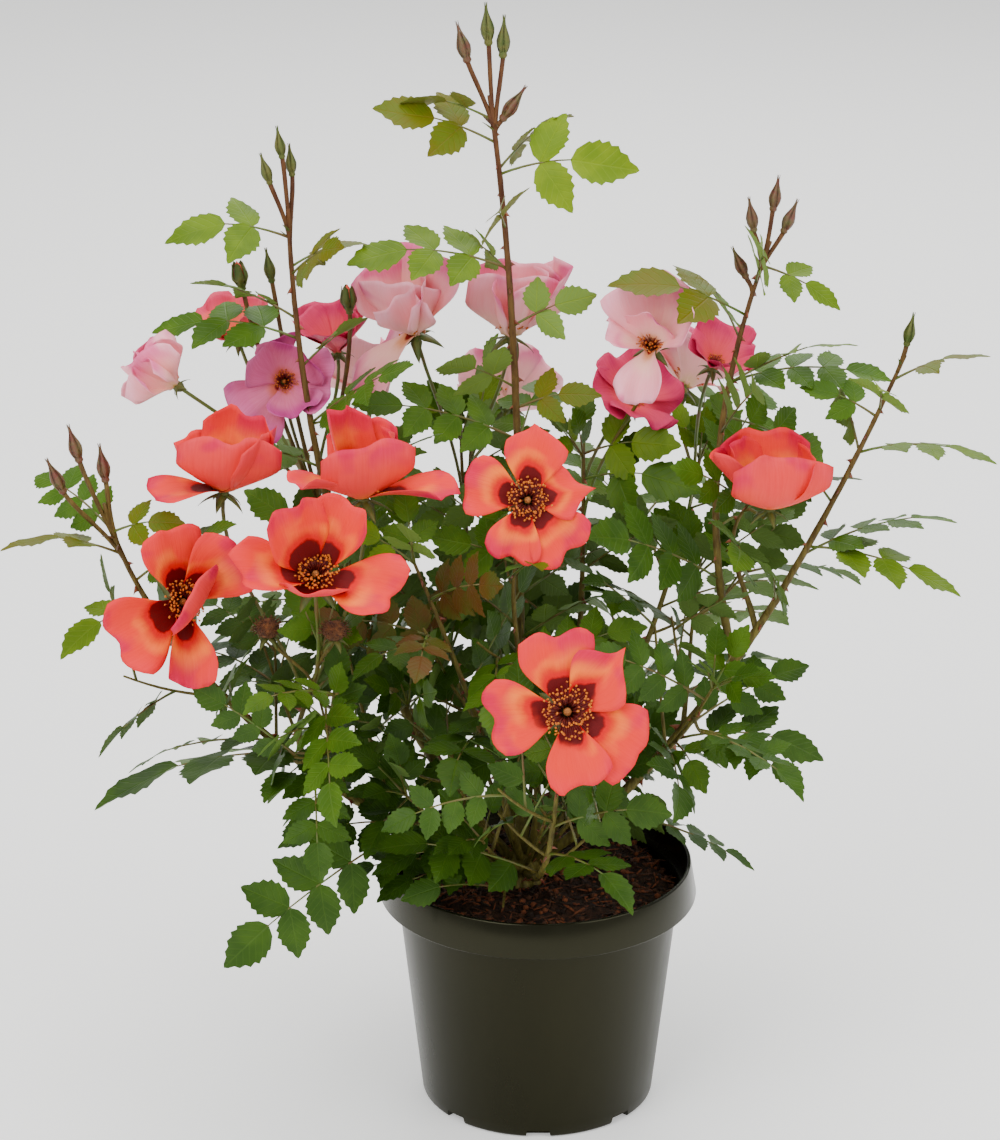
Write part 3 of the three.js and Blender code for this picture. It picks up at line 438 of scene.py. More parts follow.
# ---- crown and canes ----------------------------------------------------------------
# Canes spring from one knobbly grafted crown that stands in the mix. Their bark is green-brown
# and ribbed at the foot and turns redder towards the tips, with hooked thorns all the way up.
UP = np.array([0.0, 0.0, 1.0])
CROWN_AT = np.array([-10.0, 4.0, SOIL_LEVEL])
CROWN_RADIUS = 14
CROWN_HEIGHT = 21
CROWN_HEART = CROWN_AT + UP * CROWN_HEIGHT * 0.35

# A cane is bearing and rise (degrees), which point it out of the crown, run, how far it keeps
# that way, bend and tip, which shape its arch, its radius at foot and tip, its bare share, seed.
CANES = {
    "left_low": (195, 14, 75, (-245, -50, 300), (-273, -60, 440), 3.6, 1.9, 0.47, 11),
    "left_tall": (166, 42, 130, (-155, 56, 390), (-161, 60, 597), 3.6, 2.1, 0.26, 12),
    "young": (250, 62, 70, (-44, -50, 309), (-80, -60, 402), 2.6, 1.5, 0.28, 13),
    "centre_tall": (100, 74, 130, (-4, 62, 470), (-32, 60, 671), 3.8, 2.2, 0.2, 14),
    "mid": (330, 66, 80, (-28, -28, 330), (-14, -36, 400), 2.9, 1.6, 0.3, 15),
    "front": (280, 12, 55, (6, -112, 200), (12, -122, 290), 2.8, 1.6, 0.34, 16),
    "right": (352, 36, 120, (160, -6, 345), (231, 0, 518), 3.7, 1.7, 0.56, 17),
    "mid_right": (42, 52, 90, (30, 72, 320), (30, 82, 423), 3.2, 1.6, 0.28, 18),
    "back_left": (138, 22, 90, (-120, 118, 290), (-160, 122, 409), 3.2, 1.5, 0.28, 19),
    "back": (100, 30, 80, (-50, 150, 290), (-52, 168, 406), 3.2, 1.5, 0.28, 20),
    "back_right": (60, 14, 90, (90, 150, 270), (112, 168, 392), 3.2, 1.5, 0.3, 21),
}
CANE_SIDES = 14
CANE_RING = 4.5          # length of cane from one ring of its mesh to the next
CANE_THORN = 4.8         # height of a thorn, about
THORN_GAP = 13           # length of cane from one thorn to the next, about
LEAF_TURN = 137.5        # degrees round a stem from one leaf or thorn to the next


def unit(way):
    """A direction of length one; rows of them too."""
    way = np.asarray(way, float)
    return way / np.maximum(np.linalg.norm(way, axis=-1, keepdims=True), 1e-9)


def heading(bearing, rise):
    """A direction from a compass bearing (degrees from +X towards +Y) and a rise above level."""
    level = cos(radians(rise))
    return np.array([level * cos(radians(bearing)), level * sin(radians(bearing)), sin(radians(rise))])


def turned(way, axis, degrees):
    """A direction turned about an axis."""
    return np.array(Matrix.Rotation(radians(degrees), 3, Vector(axis)) @ Vector(way))


def square_to(way, degrees):
    """A direction square to another, turned about it."""
    side = unit(np.cross(UP if abs(way[2]) < 0.9 else (1, 0, 0), way))
    return turned(side, way, degrees)


class Course:
    """The line that a limb grows along: a smooth curve, measured by share of its length."""

    def __init__(self, *posts):
        self.posts = np.array(posts, float)
        self.steps = np.linspace(0, 1, 121)
        line = self.bezier(self.posts, self.steps)
        self.run = np.concatenate([[0], np.cumsum(np.linalg.norm(np.diff(line, axis=0), axis=1))])
        self.length = self.run[-1]

    @staticmethod
    def bezier(posts, step):
        step = np.asarray(step, float)[..., None]
        rows = [np.broadcast_to(post, step.shape[:-1] + (3,)) for post in posts]
        while len(rows) > 1:
            rows = [near + (far - near) * step for near, far in zip(rows, rows[1:])]
        return rows[0]

    def step_at(self, share):
        return np.interp(np.asarray(share) * self.length, self.run, self.steps)

    def at(self, share):
        return self.bezier(self.posts, self.step_at(share))

    def along(self, share):
        return unit(self.bezier(np.diff(self.posts, axis=0), self.step_at(share)))


rods = {}


def rod(sides, rings):
    """A round rod with so many rings of corners, its ends closed; z counts the rings."""
    if (sides, rings) not in rods:
        bm = bmesh.new()
        bmesh.ops.create_cone(bm, cap_ends=True, segments=sides, radius1=1, radius2=1, depth=rings - 1)
        cut_long_edges(bm, 2, rings - 2)
        bmesh.ops.translate(bm, verts=bm.verts, vec=(0, 0, (rings - 1) / 2))
        rods[sides, rings] = Shape(bm)
    return rods[sides, rings]


def along_course(course, shares):
    """Middles and two directions square to the line, at some shares."""
    middles, ways = course.at(shares), course.along(shares)
    normal = square_to(ways[0], 0)
    normals = []
    for way in ways:
        normal = unit(normal - way * (normal @ way))
        normals.append(normal)
    normals = np.array(normals)
    return middles, normals, np.cross(ways, normals)


def limb(batch, course, start, end, foot, tip, sides, rings, relief=0.0, seed=0.0, finish=0):
    """Adds a limb that tapers evenly from one share of its course to another. Relief is how far
    its bark stands out or in, as a share of its radius."""
    shape = rod(sides, rings)
    middles, normals, across = along_course(course, np.linspace(start, end, rings))
    ring = np.rint(shape.points[:, 2]).astype(int)
    girth = np.interp(ring, [0, rings - 1], [foot, tip])
    if relief:
        angle = np.arctan2(shape.points[:, 1], shape.points[:, 0])
        run = ring * (end - start) * course.length / (rings - 1)
        rough = [noise.noise(Vector((2.2 * cos(a), 2.2 * sin(a), r / 16 + seed))) for a, r in zip(angle, run)]
        knuckles = np.exp(-((run / 27 + seed) % 1 - 0.5) ** 2 / 0.012)
        girth = girth * (1 + relief * (np.array(rough) + 0.9 * knuckles * (0.5 + 0.5 * np.cos(angle - run))))
    placed = (middles[ring] + normals[ring] * (shape.points[:, 0] * girth)[:, None]
              + across[ring] * (shape.points[:, 1] * girth)[:, None])
    batch.add(shape, placed, finish)


# A thorn: a cone with a broad oval foot, hooked down towards the root of the cane.
bm = bmesh.new()
bmesh.ops.create_cone(bm, cap_ends=True, segments=6, radius1=0.34, radius2=0.03, depth=1)
cut_long_edges(bm, 2, 2)
for corner in bm.verts:
    corner.co.z += 0.5
    corner.co.y *= 0.55 + 0.25 * corner.co.z
    corner.co.x = corner.co.x * (1.75 - 0.75 * corner.co.z) - 0.42 * corner.co.z ** 2
thorn = Shape(bm)


def add_thorns(batch, course, start, end, girth_at, gap, size, draw):
    """Thorns along a limb, each turned on round it from the last, their hooks pointing down."""
    run = start * course.length + draw(2, gap)
    turn = draw(0, 360)
    while run < end * course.length:
        share = run / course.length
        way = course.along(share)
        out = square_to(way, turn)
        length = size * draw(0.7, 1.25)
        foot = course.at(share) + out * girth_at(share) * 0.8
        pose = np.array([way, np.cross(out, way), out]) * length
        batch.add(thorn, thorn.points @ pose + foot, 1)
        run += gap * draw(0.5, 1.5)
        turn += LEAF_TURN + draw(-40, 40)

# Bark: green-brown at the foot of the bush and red-brown at the top, streaked along the stem.
bark, tree, shader = new_finish("bark", Roughness=0.6, Specular_IOR_Level=0.22)
streaks = object_place(tree, (1, 1, 0.28))
low_bark = add_mottling(tree, streaks, 300.0, (74, 64, 24), (106, 98, 40))
high_bark = add_mottling(tree, streaks, 300.0, (76, 40, 24), (102, 66, 34))
height = add_node(tree, "ShaderNodeSeparateXYZ", {"Vector": object_place(tree)}).outputs["Z"]
ripe = add_node(tree, "ShaderNodeMapRange", {"Value": height, "From Min": 0.3, "From Max": 0.6})
redder = mixed(tree, ripe.outputs["Result"], low_bark["Color"], high_bark["Color"])
tree.links.new(redder, shader.inputs["Base Color"])
add_bump(tree, low_bark["Mask"], shader, 0.0005)
thorn_wood = mottled_finish("thorn_wood", 120.0, (96, 34, 22), (140, 78, 44), Roughness=0.45)

bm = spun([(0, SOIL_LEVEL - 6), (CROWN_RADIUS * 1.1, SOIL_LEVEL - 6), (CROWN_RADIUS * 1.15, SOIL_LEVEL + 1),
           (CROWN_RADIUS, SOIL_LEVEL + 6), (CROWN_RADIUS * 0.9, SOIL_LEVEL + 13),
           (CROWN_RADIUS * 0.55, SOIL_LEVEL + 19), (0, SOIL_LEVEL + CROWN_HEIGHT)], 40)
bmesh.ops.subdivide_edges(bm, edges=bm.edges, cuts=2, use_grid_fill=True)
for corner in bm.verts:
    place = corner.co / MM
    knob = 0.86 + 0.24 * noise.fractal(place / 9, 0.8, 2.2, 3) + 0.1 * noise.noise(place / 4)
    corner.co.x = (place.x * knob + CROWN_AT[0]) * MM
    corner.co.y = (place.y * knob + CROWN_AT[1]) * MM
crown = add_mesh("crown_knuckle", bm, [bark])
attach(crown, "root")
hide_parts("crown")

def taper(foot, tip):
    """The radius of a limb at a share of its length, from its radius at foot and tip."""
    return lambda share: foot + (tip - foot) * share


canes = {}
for name, (bearing, rise, run, bend, end, foot, tip, bare, seed) in CANES.items():
    course = Course(CROWN_HEART, CROWN_HEART + heading(bearing, rise) * run, bend, end)
    girth_at = taper(foot, tip)
    canes[name] = course, girth_at, bare, seed
    wood = Batch()
    limb(wood, course, 0, bare, foot * 1.04, girth_at(bare), CANE_SIDES, int(course.length * bare / CANE_RING),
         relief=0.16, seed=seed * 1.7)
    add_thorns(wood, course, 0.08, bare, girth_at, THORN_GAP, CANE_THORN, draws(seed + 200))
    wood.piece(f"{name}_cane_bark", [bark, thorn_wood], "bark", f"{name}_cane")

# ---- stems and twigs ----------------------------------------------------------------
# Each cane grows on as a leafy stem, side shoots leave the canes' bare lengths, and short
# sprays fill the foot of the bush. Finer side twigs leave the stems by the same turning rule.
# A shoot is its cane and the share of it where it starts, lean and run, which say how it sets
# out, bend and tip, which shape its arch, its radius at foot and tip, and its seed.
SHOOTS = {
    "left_mid": ("left_low", 0.42, (-0.35, -0.3, 1), 45, (-146, -72, 300), (-137, -85, 352), 2.4, 1.4, 31),
    "upright": ("right", 0.47, (-0.25, 0.2, 1), 70, (104, 34, 456), (147, 44, 580), 2.9, 1.9, 32),
    "inner": ("right", 0.53, (-0.2, 0.6, 1), 35, (112, 16, 385), (136, -4, 422), 2.2, 1.3, 33),
}
# A spray is its bearing, rise, reach and seed, and its cane and the share of it where it starts,
# for those that don't spring from the crown.
SPRAYS = {
    "low_left": (222, 30, 118, 41), "low_front_left": (252, 24, 96, 42), "low_front": (285, 40, 74, 43),
    "low_right": (322, 44, 84, 44), "low_east": (26, 34, 92, 45), "low_back_right": (80, 52, 130, 46),
    "low_back": (128, 52, 130, 47), "low_back_left": (200, 52, 130, 48),
    "left_inside": (130, 60, 95, 51, "left_low", 0.24), "left_outside": (262, 45, 80, 52, "left_low", 0.34),
    "right_outside": (300, 40, 90, 53, "right", 0.27), "right_inside": (80, 50, 90, 54, "right", 0.34),
}
SHOOT_LEAFLESS, CANE_SPRAY_LEAFLESS, SPRAY_LEAFLESS = 0.16, 0.12, 0.3    # shares below the first leaf
STEM_SIDES = 9
STEM_RING = 5.0
STEM_THORN, SPRAY_THORN = 3.6, 2.4       # height of a thorn, about
STEM_THORN_GAP = 15


class Mass:
    """A stem with what grows on it: one of the bush's masses of foliage."""

    def __init__(self, name, node, course, start, girth_at, seed, leafy=None):
        self.name, self.node, self.course, self.start = name, node, course, start
        self.girth_at, self.seed, self.stalks = girth_at, seed, 0
        self.wood, self.leaves, self.twigs = Batch(), Batch(), []
        self.leafy = start if leafy is None else leafy

    def nearest(self, place):
        shares = np.arange(self.start, 1.0001, 0.02)
        gaps = np.linalg.norm(self.course.at(shares) - np.asarray(place, float), axis=1)
        return shares[int(np.argmin(gaps))]


masses = {}
for name, (course, girth_at, bare, seed) in canes.items():
    masses[name] = Mass(name, f"{name}_foliage", course, bare, girth_at, seed)
for name, (cane, share, lean, run, bend, end, foot, tip, seed) in SHOOTS.items():
    start = canes[cane][0].at(share)
    course = Course(start, start + unit(lean) * run, bend, end)
    masses[name] = Mass(name, f"{name}_foliage", course, 0.0, taper(foot, tip), seed, SHOOT_LEAFLESS)
for name, (bearing, rise, reach, seed, *origin) in SPRAYS.items():
    lean = heading(bearing, rise)
    start = canes[origin[0]][0].at(origin[1]) if origin else CROWN_HEART
    course = Course(start, start + lean * reach * 0.5, start + lean * reach + UP * reach * 0.22)
    masses[name] = Mass(name, f"{name}_spray", course, 0.0, lambda share: 1.9 - 0.7 * share, seed,
                        CANE_SPRAY_LEAFLESS if origin else SPRAY_LEAFLESS)

for mass in masses.values():
    rings = max(4, int(mass.course.length * (1 - mass.start) / STEM_RING))
    limb(mass.wood, mass.course, mass.start, 1, mass.girth_at(mass.start), mass.girth_at(1) * 0.7, STEM_SIDES,
         rings, relief=0.13, seed=mass.seed * 2.3)
    add_thorns(mass.wood, mass.course, max(mass.start, 0.08), 0.95, mass.girth_at, STEM_THORN_GAP,
               STEM_THORN if mass.node.endswith("foliage") else SPRAY_THORN, draws(mass.seed + 300))

# ---- blooms -------------------------------------------------------------------------
# Single blooms of five broad, wavy petals on a small green hip, with a ring of gold anthers on
# dark filaments. Young ones are coral with a maroon eye; the older ones behind fade to pink.
# A bloom is its mass, its middle, the way it faces, its radius, how deeply it is cupped, its
# tone and its petals; petals that aren't given are drawn at random.
# A petal is turn (degrees round the bloom), reach and breadth (shares of the bloom's radius),
# rise at its claw and at its tip (degrees), fold (how far its sides stand up), and a corner
# drawn out of its end (share of its reach) with its place across the end, from -1 to 1.
FLOWERS = {
    "front": ("front", (16, -150, 337), (0.05, -0.9, 0.42), 51, 0.16, "coral", [
        (103, 0.94, 0.5, 24, 4, 0.1, 0.16, 1), (41, 0.7, 0.6, 26, 8, 0.15, 0.52, 0),
        (-28, 0.99, 0.5, 20, -6, 0.1, 0, 0), (-82, 0.9, 0.44, 22, 6, 0.12, 0.16, -0.8),
        (187, 0.92, 0.5, 22, -8, 0.12, 0.08, -0.8)]),
    "middle": ("mid", (-8, -62, 443), (0.05, -0.9, 0.42), 43, 0.16, "coral", [
        (82, 0.92, 0.5, 26, 4, 0.15, 0.24, 0.25), (12, 0.66, 0.62, 24, 6, 0.12, 0.5, 0),
        (-51, 0.98, 0.52, 20, -4, 0.1, 0, 0), (-111, 0.9, 0.46, 22, 0, 0.12, 0.1, -0.9),
        (162, 0.9, 0.5, 22, -6, 0.15, 0.1, -0.8)]),
    "left": ("left_low", (-220, -95, 388), (0.55, -0.75, 0.37), 46, 0.42, "coral", [
        (200, 1.05, 0.52, 15, -16, 0.12, 0, 0), (98, 1, 0.46, 30, 12, 0.1, 0.08, 0.9),
        (36, 1, 0.5, 40, 26, 0.2, 0.05, 0.6), (252, 1.04, 0.34, 24, -10, 0.9, 0.1, 0.9),
        (308, 0.86, 0.62, 46, 172, 0.2, 0.06, 0.8)]),
    "left_front": ("left_mid", (-138, -125, 422), (0.05, -0.55, 0.83), 47, 0.5, "coral", [
        (128, 1.08, 0.4, 58, 74, 0.14, 0.1, 0.9), (50, 1, 0.4, 44, 46, 0.24, 0, 0),
        (190, 0.98, 0.42, 36, 10, 0.4, 0.1, -0.6), (332, 1.02, 0.5, 24, 2, 0.16, 0.05, 0.7),
        (262, 0.7, 0.6, 4, 84, 0.25, 0.05, -0.8)]),
    "left_side": ("left_mid", (-198, -40, 452), (0.12, 0.06, 1), 38, 0.55, "coral", [
        (64, 1.22, 0.52, 44, 100, 0.2, 0.08, 0.4), (158, 1.08, 0.56, 30, 66, 0.2, 0, 0),
        (210, 1.12, 0.5, 16, -14, 0.25, 0.06, 0.5), (344, 1.2, 0.64, 22, 100, 0.22, 0.05, 0.7),
        (280, 1.18, 0.68, 22, 104, 0.25, 0.06, 0.3)]),
    "left_upper": ("left_mid", (-112, -50, 452), (-0.1, 0.04, 1), 45, 0.5, "coral", [
        (140, 1.22, 0.3, 62, 96, 0.8, 0.08, 0.8), (84, 1.02, 0.46, 46, 88, 0.2, 0.08, -0.5),
        (26, 1, 0.46, 36, 92, 0.3, 0, 0), (336, 1.12, 0.38, 22, -4, 0.3, 0.16, 0.2),
        (208, 1, 0.38, 30, 10, 0.35, 0.04, 0), (288, 1.06, 0.6, 22, 104, 0.2, 0, 0)]),
    "right": ("inner", (146, -25, 438), (0.02, 0.05, 1), 35, 0.75, "coral", [
        (98, 1.3, 0.56, 40, 92, 0.2, 0, 0), (196, 1.3, 0.34, 34, 56, 0.5, 0.12, 0.4),
        (10, 1.2, 0.58, 22, 100, 0.2, 0.04, 0.6), (150, 1.2, 0.4, 46, 84, 0.3, 0.05, 0.2),
        (288, 1.32, 0.64, 8, 112, 0.2, 0.12, -0.5)]),
    "plum": ("back_left", (-166, 70, 478), (0.1, -0.85, 0.5), 27, 0.4, "plum", [
        (222, 1.4, 0.62, 24, 4, 0.2, 0.1, 0.1), (134, 1.12, 0.76, 34, 60, 0.25, 0.05, 0.6),
        (62, 1.12, 0.76, 40, 76, 0.3, 0, 0), (345, 1.2, 0.66, 34, 26, 0.3, 0, 0),
        (284, 1.1, 0.6, 30, 40, 0.4, 0, 0)]),
    "pale_left": ("back_left", (-241, 40, 490), (-0.7, -0.2, 0.6), 20, 0.8, "pink", [
        (20, 1.4, 0.8, 64, 118, 0.3, 0, 0), (96, 1.5, 0.8, 60, 116, 0.3, 0, 0),
        (168, 1.4, 0.8, 64, 122, 0.3, 0, 0), (240, 1.45, 0.75, 60, 118, 0.3, 0, 0),
        (312, 1.5, 0.8, 62, 112, 0.3, 0.06, 0.5)]),
    "pink_inner": ("back_left", (-135, 135, 484), (-0.1, -0.2, 0.95), 28, 0.5, "rose", None),
    "peach": ("back_left", (-202, 140, 490), (-0.2, -0.3, 0.9), 26, 0.5, "peach", None),
    "pink_tall": ("back", (-84, 98, 513), (-0.2, -0.3, 0.9), 44, 0.6, "pink", [
        (78, 1.2, 0.68, 72, 60, 0.2, 0, 0), (140, 1.05, 0.62, 50, 70, 0.25, 0.05, 0.5),
        (244, 1.1, 0.42, -14, -70, 0.3, 0.04, 0.2), (322, 0.95, 0.5, 44, 96, 0.4, 0.1, 0.4),
        (265, 0.98, 0.62, 56, 112, 0.2, 0, 0), (20, 1, 0.56, 60, 84, 0.25, 0, 0)]),
    "pink_centre": ("back", (-17, 112, 508), (0.1, -0.1, 1), 41, 0.6, "pink", [
        (88, 1.1, 0.62, 68, 90, 0.2, 0, 0), (190, 1.1, 0.56, 50, 78, 0.25, 0.05, -0.6),
        (14, 1.34, 0.3, 34, 84, 0.6, 0, 0), (348, 1.04, 0.6, 58, 92, 0.25, 0, 0),
        (276, 1.06, 0.7, 60, 96, 0.2, 0.05, -0.5)]),
    "pink_right": ("mid_right", (71, 35, 518), (-0.1, -0.5, 0.85), 33, 0.55, "pink", [
        (112, 1.2, 0.6, 56, 48, 0.2, 0, 0), (26, 1.24, 0.7, 50, 56, 0.2, 0, 0),
        (264, 1.1, 0.4, 12, -36, 0.4, 0.1, 0), (190, 0.92, 0.44, 46, 26, 0.3, 0, 0),
        (70, 0.95, 0.5, 66, 128, 0.2, 0.08, 0.6)]),
    "coral_under": ("mid_right", (62, 85, 461), (0.3, -0.5, 0.6), 29, 0.3, "rose", None),
    "pink_far": ("back_right", (118, 110, 480), (0.3, -0.3, 0.9), 26, 0.5, "rose", None),
    "behind_right": ("back_right", (104, 205, 436), (0.4, 0.6, 0.7), 36, 0.4, "pink", None),
    "behind": ("back", (-20, 224, 414), (0.1, 0.8, 0.5), 38, 0.35, "pink", None),
    "behind_left": ("back_left", (-120, 205, 430), (-0.3, 0.7, 0.65), 38, 0.4, "pink", None),
}
PETAL_SKIN = 0.5
STAMENS = 110
FADED_STAMENS = 0.7      # share of them on a bloom that isn't coral
GREEN_HIP = (3.6, 3.6, 4.6)      # half widths and height of the hip under a bloom
STALK_SIDES = 7
STALK_SPREAD = 5.5
CLEAR_FACE = 0.55        # room that leaves keep clear in front of a bloom, as a share of its radius
OUTLINE_ROOM = 11        # how far grown parts may stand out of the bush's solids, in mm

taken = np.zeros((60000, 4))     # points that grown parts hold, with the room that each needs, in mm
taken_count = 0
outline_low, outline_high = (np.array(corner) / MM + way * OUTLINE_ROOM
                             for corner, way in zip(solids_box, (-1, 1)))


def claim(points, room):
    """Marks the place of a grown part."""
    global taken_count
    points = np.asarray(points, float).reshape(-1, 3)
    taken[taken_count:taken_count + len(points), :3] = points
    taken[taken_count:taken_count + len(points), 3] = room
    taken_count += len(points)


def is_free(points, room):
    """True where none of the points comes within its room of a grown part, the pot or the mix, or
    stands out of the bush's outline."""
    if (points < outline_low).any() or (points > outline_high).any():
        return False
    held = taken[:taken_count]
    gaps = ((points[:, None, :] - held[None, :, :3]) ** 2).sum(axis=2)
    if (gaps < (held[:, 3] + room) ** 2).any():
        return False
    out = np.hypot(points[:, 0], points[:, 1])
    low_down = (out < COLLAR + 4) & (points[:, 2] < POT_HEIGHT + 3)
    return not (low_down & ((out > 84) | (points[:, 2] < SOIL_LEVEL + 8))).any()


for mass in masses.values():
    shares = np.linspace(mass.start, 1, max(3, int(mass.course.length * (1 - mass.start) / 6)))
    claim(mass.course.at(shares), 1.5)
for course, _, bare, _ in canes.values():
    claim(course.at(np.linspace(0.1, bare, 30)), 2.5)


def stalk_course(mass, end, arrive):
    """The line of a stalk from a stem to a flower, bud or hip: it leaves the stem where it can
    bend gently up to its end, and each stalk of a mass a little below the one before."""
    nearest = mass.nearest(end)
    away = np.linalg.norm(mass.course.at(nearest) - end)
    below = away * 0.5 + STALK_SPREAD * (mass.stalks % 4)
    mass.stalks += 1
    share = max(mass.start + 0.04, min(nearest - below / mass.course.length, 0.975))
    foot = mass.course.at(share)
    reach = np.linalg.norm(foot - end)
    return Course(foot, foot + mass.course.along(share) * reach * 0.35, end - arrive * reach * 0.35, end)


# A petal: a thin closed slab, its upper face first and its under face second. Along it runs
# from claw to tip, and across it from -1 to 1.
PETAL_CELLS = 14
bm = bmesh.new()
bmesh.ops.create_grid(bm, x_segments=PETAL_CELLS, y_segments=PETAL_CELLS, size=1)
bmesh.ops.solidify(bm, geom=bm.faces[:], thickness=0.05)
bmesh.ops.recalc_face_normals(bm, faces=bm.faces)
middle = sum(corner.co.z for corner in bm.verts) / len(bm.verts)
for face in bm.faces:
    face.material_index = int(face.normal.z < -0.5)
petal_shape = Shape(bm)
petal_along = (petal_shape.points[:, 0] + 1) / 2
petal_across = petal_shape.points[:, 1]
petal_under = petal_shape.points[:, 2] < middle
petal_chart = np.stack([(petal_across + 1) / 2, petal_along], axis=1)


def eased(value):
    value = np.clip(value, 0, 1)
    return value * value * (3 - 2 * value)


def petal_points(along, across, reach, breadth, low, high, fold, corner, corner_at,
                 ruffle, notch, sway, phase):
    """Points of a petal in its own place: out from the bloom's middle, sideways, and up along
    the bloom's facing."""
    share = along * (1 - 0.17 * across ** 4 - notch * np.exp(-(across / 0.25) ** 2)
                     + 0.03 * np.sin(5 * across + phase) + corner * np.exp(-np.abs(across - corner_at) / 0.32))
    full = 0.5 if high > 65 else 0.76
    width = breadth * (0.2 + 0.8 * eased(share / full)) * (1 - 0.14 * np.clip((share - 0.8) / 0.3, 0, 1) ** 2)
    first, bend = radians(low), radians(high - low + 0.01)
    rise = first + bend * share
    out = (np.sin(rise) - sin(first)) / bend
    up = (cos(first) - np.cos(rise)) / bend
    side = across * width + sway * share ** 2
    lift = fold * across ** 2 * width + ruffle * share ** 2 * np.sin(3.4 * across + phase) \
        + 0.6 * ruffle * share ** 3 * np.sin(7.3 * across - 2 * phase)
    return reach * np.stack([out - np.sin(rise) * lift, side, up + np.cos(rise) * lift], axis=-1)


def add_petal(batch, seat, out, side, facing, finish, **build):
    """A petal set on a bloom's seat, with its skin's thickness square to its face."""
    here = petal_points(petal_along, petal_across, **build)
    step = 0.01
    onward = petal_points(petal_along + step, petal_across, **build) - here
    sideways = petal_points(petal_along, petal_across + step, **build) - here
    face = unit(np.cross(onward, sideways))
    here = here - face * (PETAL_SKIN * (0.35 + 0.65 * (1 - petal_along)))[:, None] * petal_under[:, None]
    here[:, 0] += 0.05 * build["reach"]
    placed = seat + here @ np.array([out, side, facing])
    batch.add(petal_shape, placed, finish, petal_chart)
    claim(placed[~petal_under][::5], 3.0)


# Petal colouring, along the petal from claw to tip: the eye, the throat, the blade and a rim,
# the eye's edge bowed by lobe and broken up, with a blush in patches and fine veins lengthwise.
petal_group, taken_in, given_out = new_group(
    "petal_colouring", ["Surface", "Object"], ["Eye", "Eye edge", "Throat", "Blade", "Rim", "Blush"],
    {"Eye reach": 0.36}, ["Color", "Veins"])


def maths(group, operation, *terms):
    """A sum in a group: each term is a socket or a number."""
    return add_node(group, "ShaderNodeMath", dict(enumerate(terms)), operation=operation).outputs[0]


def step_up(group, value, low, high):
    """0 below low and 1 above high, smoothly; low and high are sockets or numbers."""
    return add_node(group, "ShaderNodeMapRange", {"Value": value, "From Min": low, "From Max": high},
                    interpolation_type="SMOOTHSTEP").outputs["Result"]


def noise_at(group, vector, scale, detail):
    """Noise at a place, from 0 to 1."""
    return add_node(group, "ShaderNodeTexNoise",
                    {"Vector": vector, "Scale": scale, "Detail": detail}).outputs["Fac"]


across, along, _ = add_node(petal_group, "ShaderNodeSeparateXYZ", {0: taken_in["Surface"]}).outputs
off_centre = maths(petal_group, "ABSOLUTE", maths(petal_group, "SUBTRACT", across, 0.5))
bowed = maths(petal_group, "MULTIPLY_ADD", maths(petal_group, "POWER", off_centre, 2.0), 0.95, along)
place = maths(petal_group, "MULTIPLY_ADD", noise_at(petal_group, taken_in["Object"], 260.0, 3.0), 0.07, bowed)
patches = noise_at(petal_group, taken_in["Object"], 34.0, 2.0)
glowing = maths(petal_group, "MULTIPLY_ADD", patches, -1.5, maths(petal_group, "ADD", place, 0.72))
reach = [maths(petal_group, "ADD", taken_in["Eye reach"], more) for more in (0.0, 0.05, 0.06, 0.27)]
blushing = maths(petal_group, "MULTIPLY", step_up(petal_group, patches, 0.48, 0.6),
                 step_up(petal_group, along, 0.5, 0.95))
colour = taken_in["Eye"]
for share, onward in [
    (step_up(petal_group, place, reach[0], reach[1]), "Eye edge"),
    (step_up(petal_group, place, reach[2], reach[3]), "Throat"),
    (step_up(petal_group, glowing, reach[2], 0.84), "Blade"),
    (step_up(petal_group, place, 0.78, 1.08), "Rim"),
    (blushing, "Blush"),
]:
    colour = mixed(petal_group, share, colour, taken_in[onward])
lengthwise = add_node(petal_group, "ShaderNodeMapping",
                      {"Scale": (46.0, 2.6, 1.0), "Vector": taken_in["Surface"]})
veins = noise_at(petal_group, lengthwise.outputs["Vector"], 1.0, 3.0)
deep = add_node(petal_group, "ShaderNodeMapRange", {"Value": veins, "From Min": 0.35, "From Max": 0.65,
                                                    "To Min": 0.2, "To Max": 0.0}).outputs["Result"]
petal_group.links.new(mixed(petal_group, deep, colour, colour, blend_type="MULTIPLY"), given_out["Color"])
petal_group.links.new(veins, given_out["Veins"])


def charted_finish(name, group, relief, values, **sockets):
    """A material coloured by a group that knows the place on a petal's or leaflet's own surface,
    with the group's second output as its relief."""
    material, tree, shader = new_finish(name, **sockets)
    chart = add_node(tree, "ShaderNodeUVMap", uv_map="surface").outputs["UV"]
    values = {socket: tint(*value) if isinstance(value, tuple) else value for socket, value in values.items()}
    coloured = add_node(tree, "ShaderNodeGroup", {"Surface": chart, "Object": object_place(tree), **values},
                        node_tree=group).outputs
    tree.links.new(coloured["Color"], shader.inputs["Base Color"])
    add_bump(tree, coloured[relief], shader, 0.0004, 0.6)
    return material


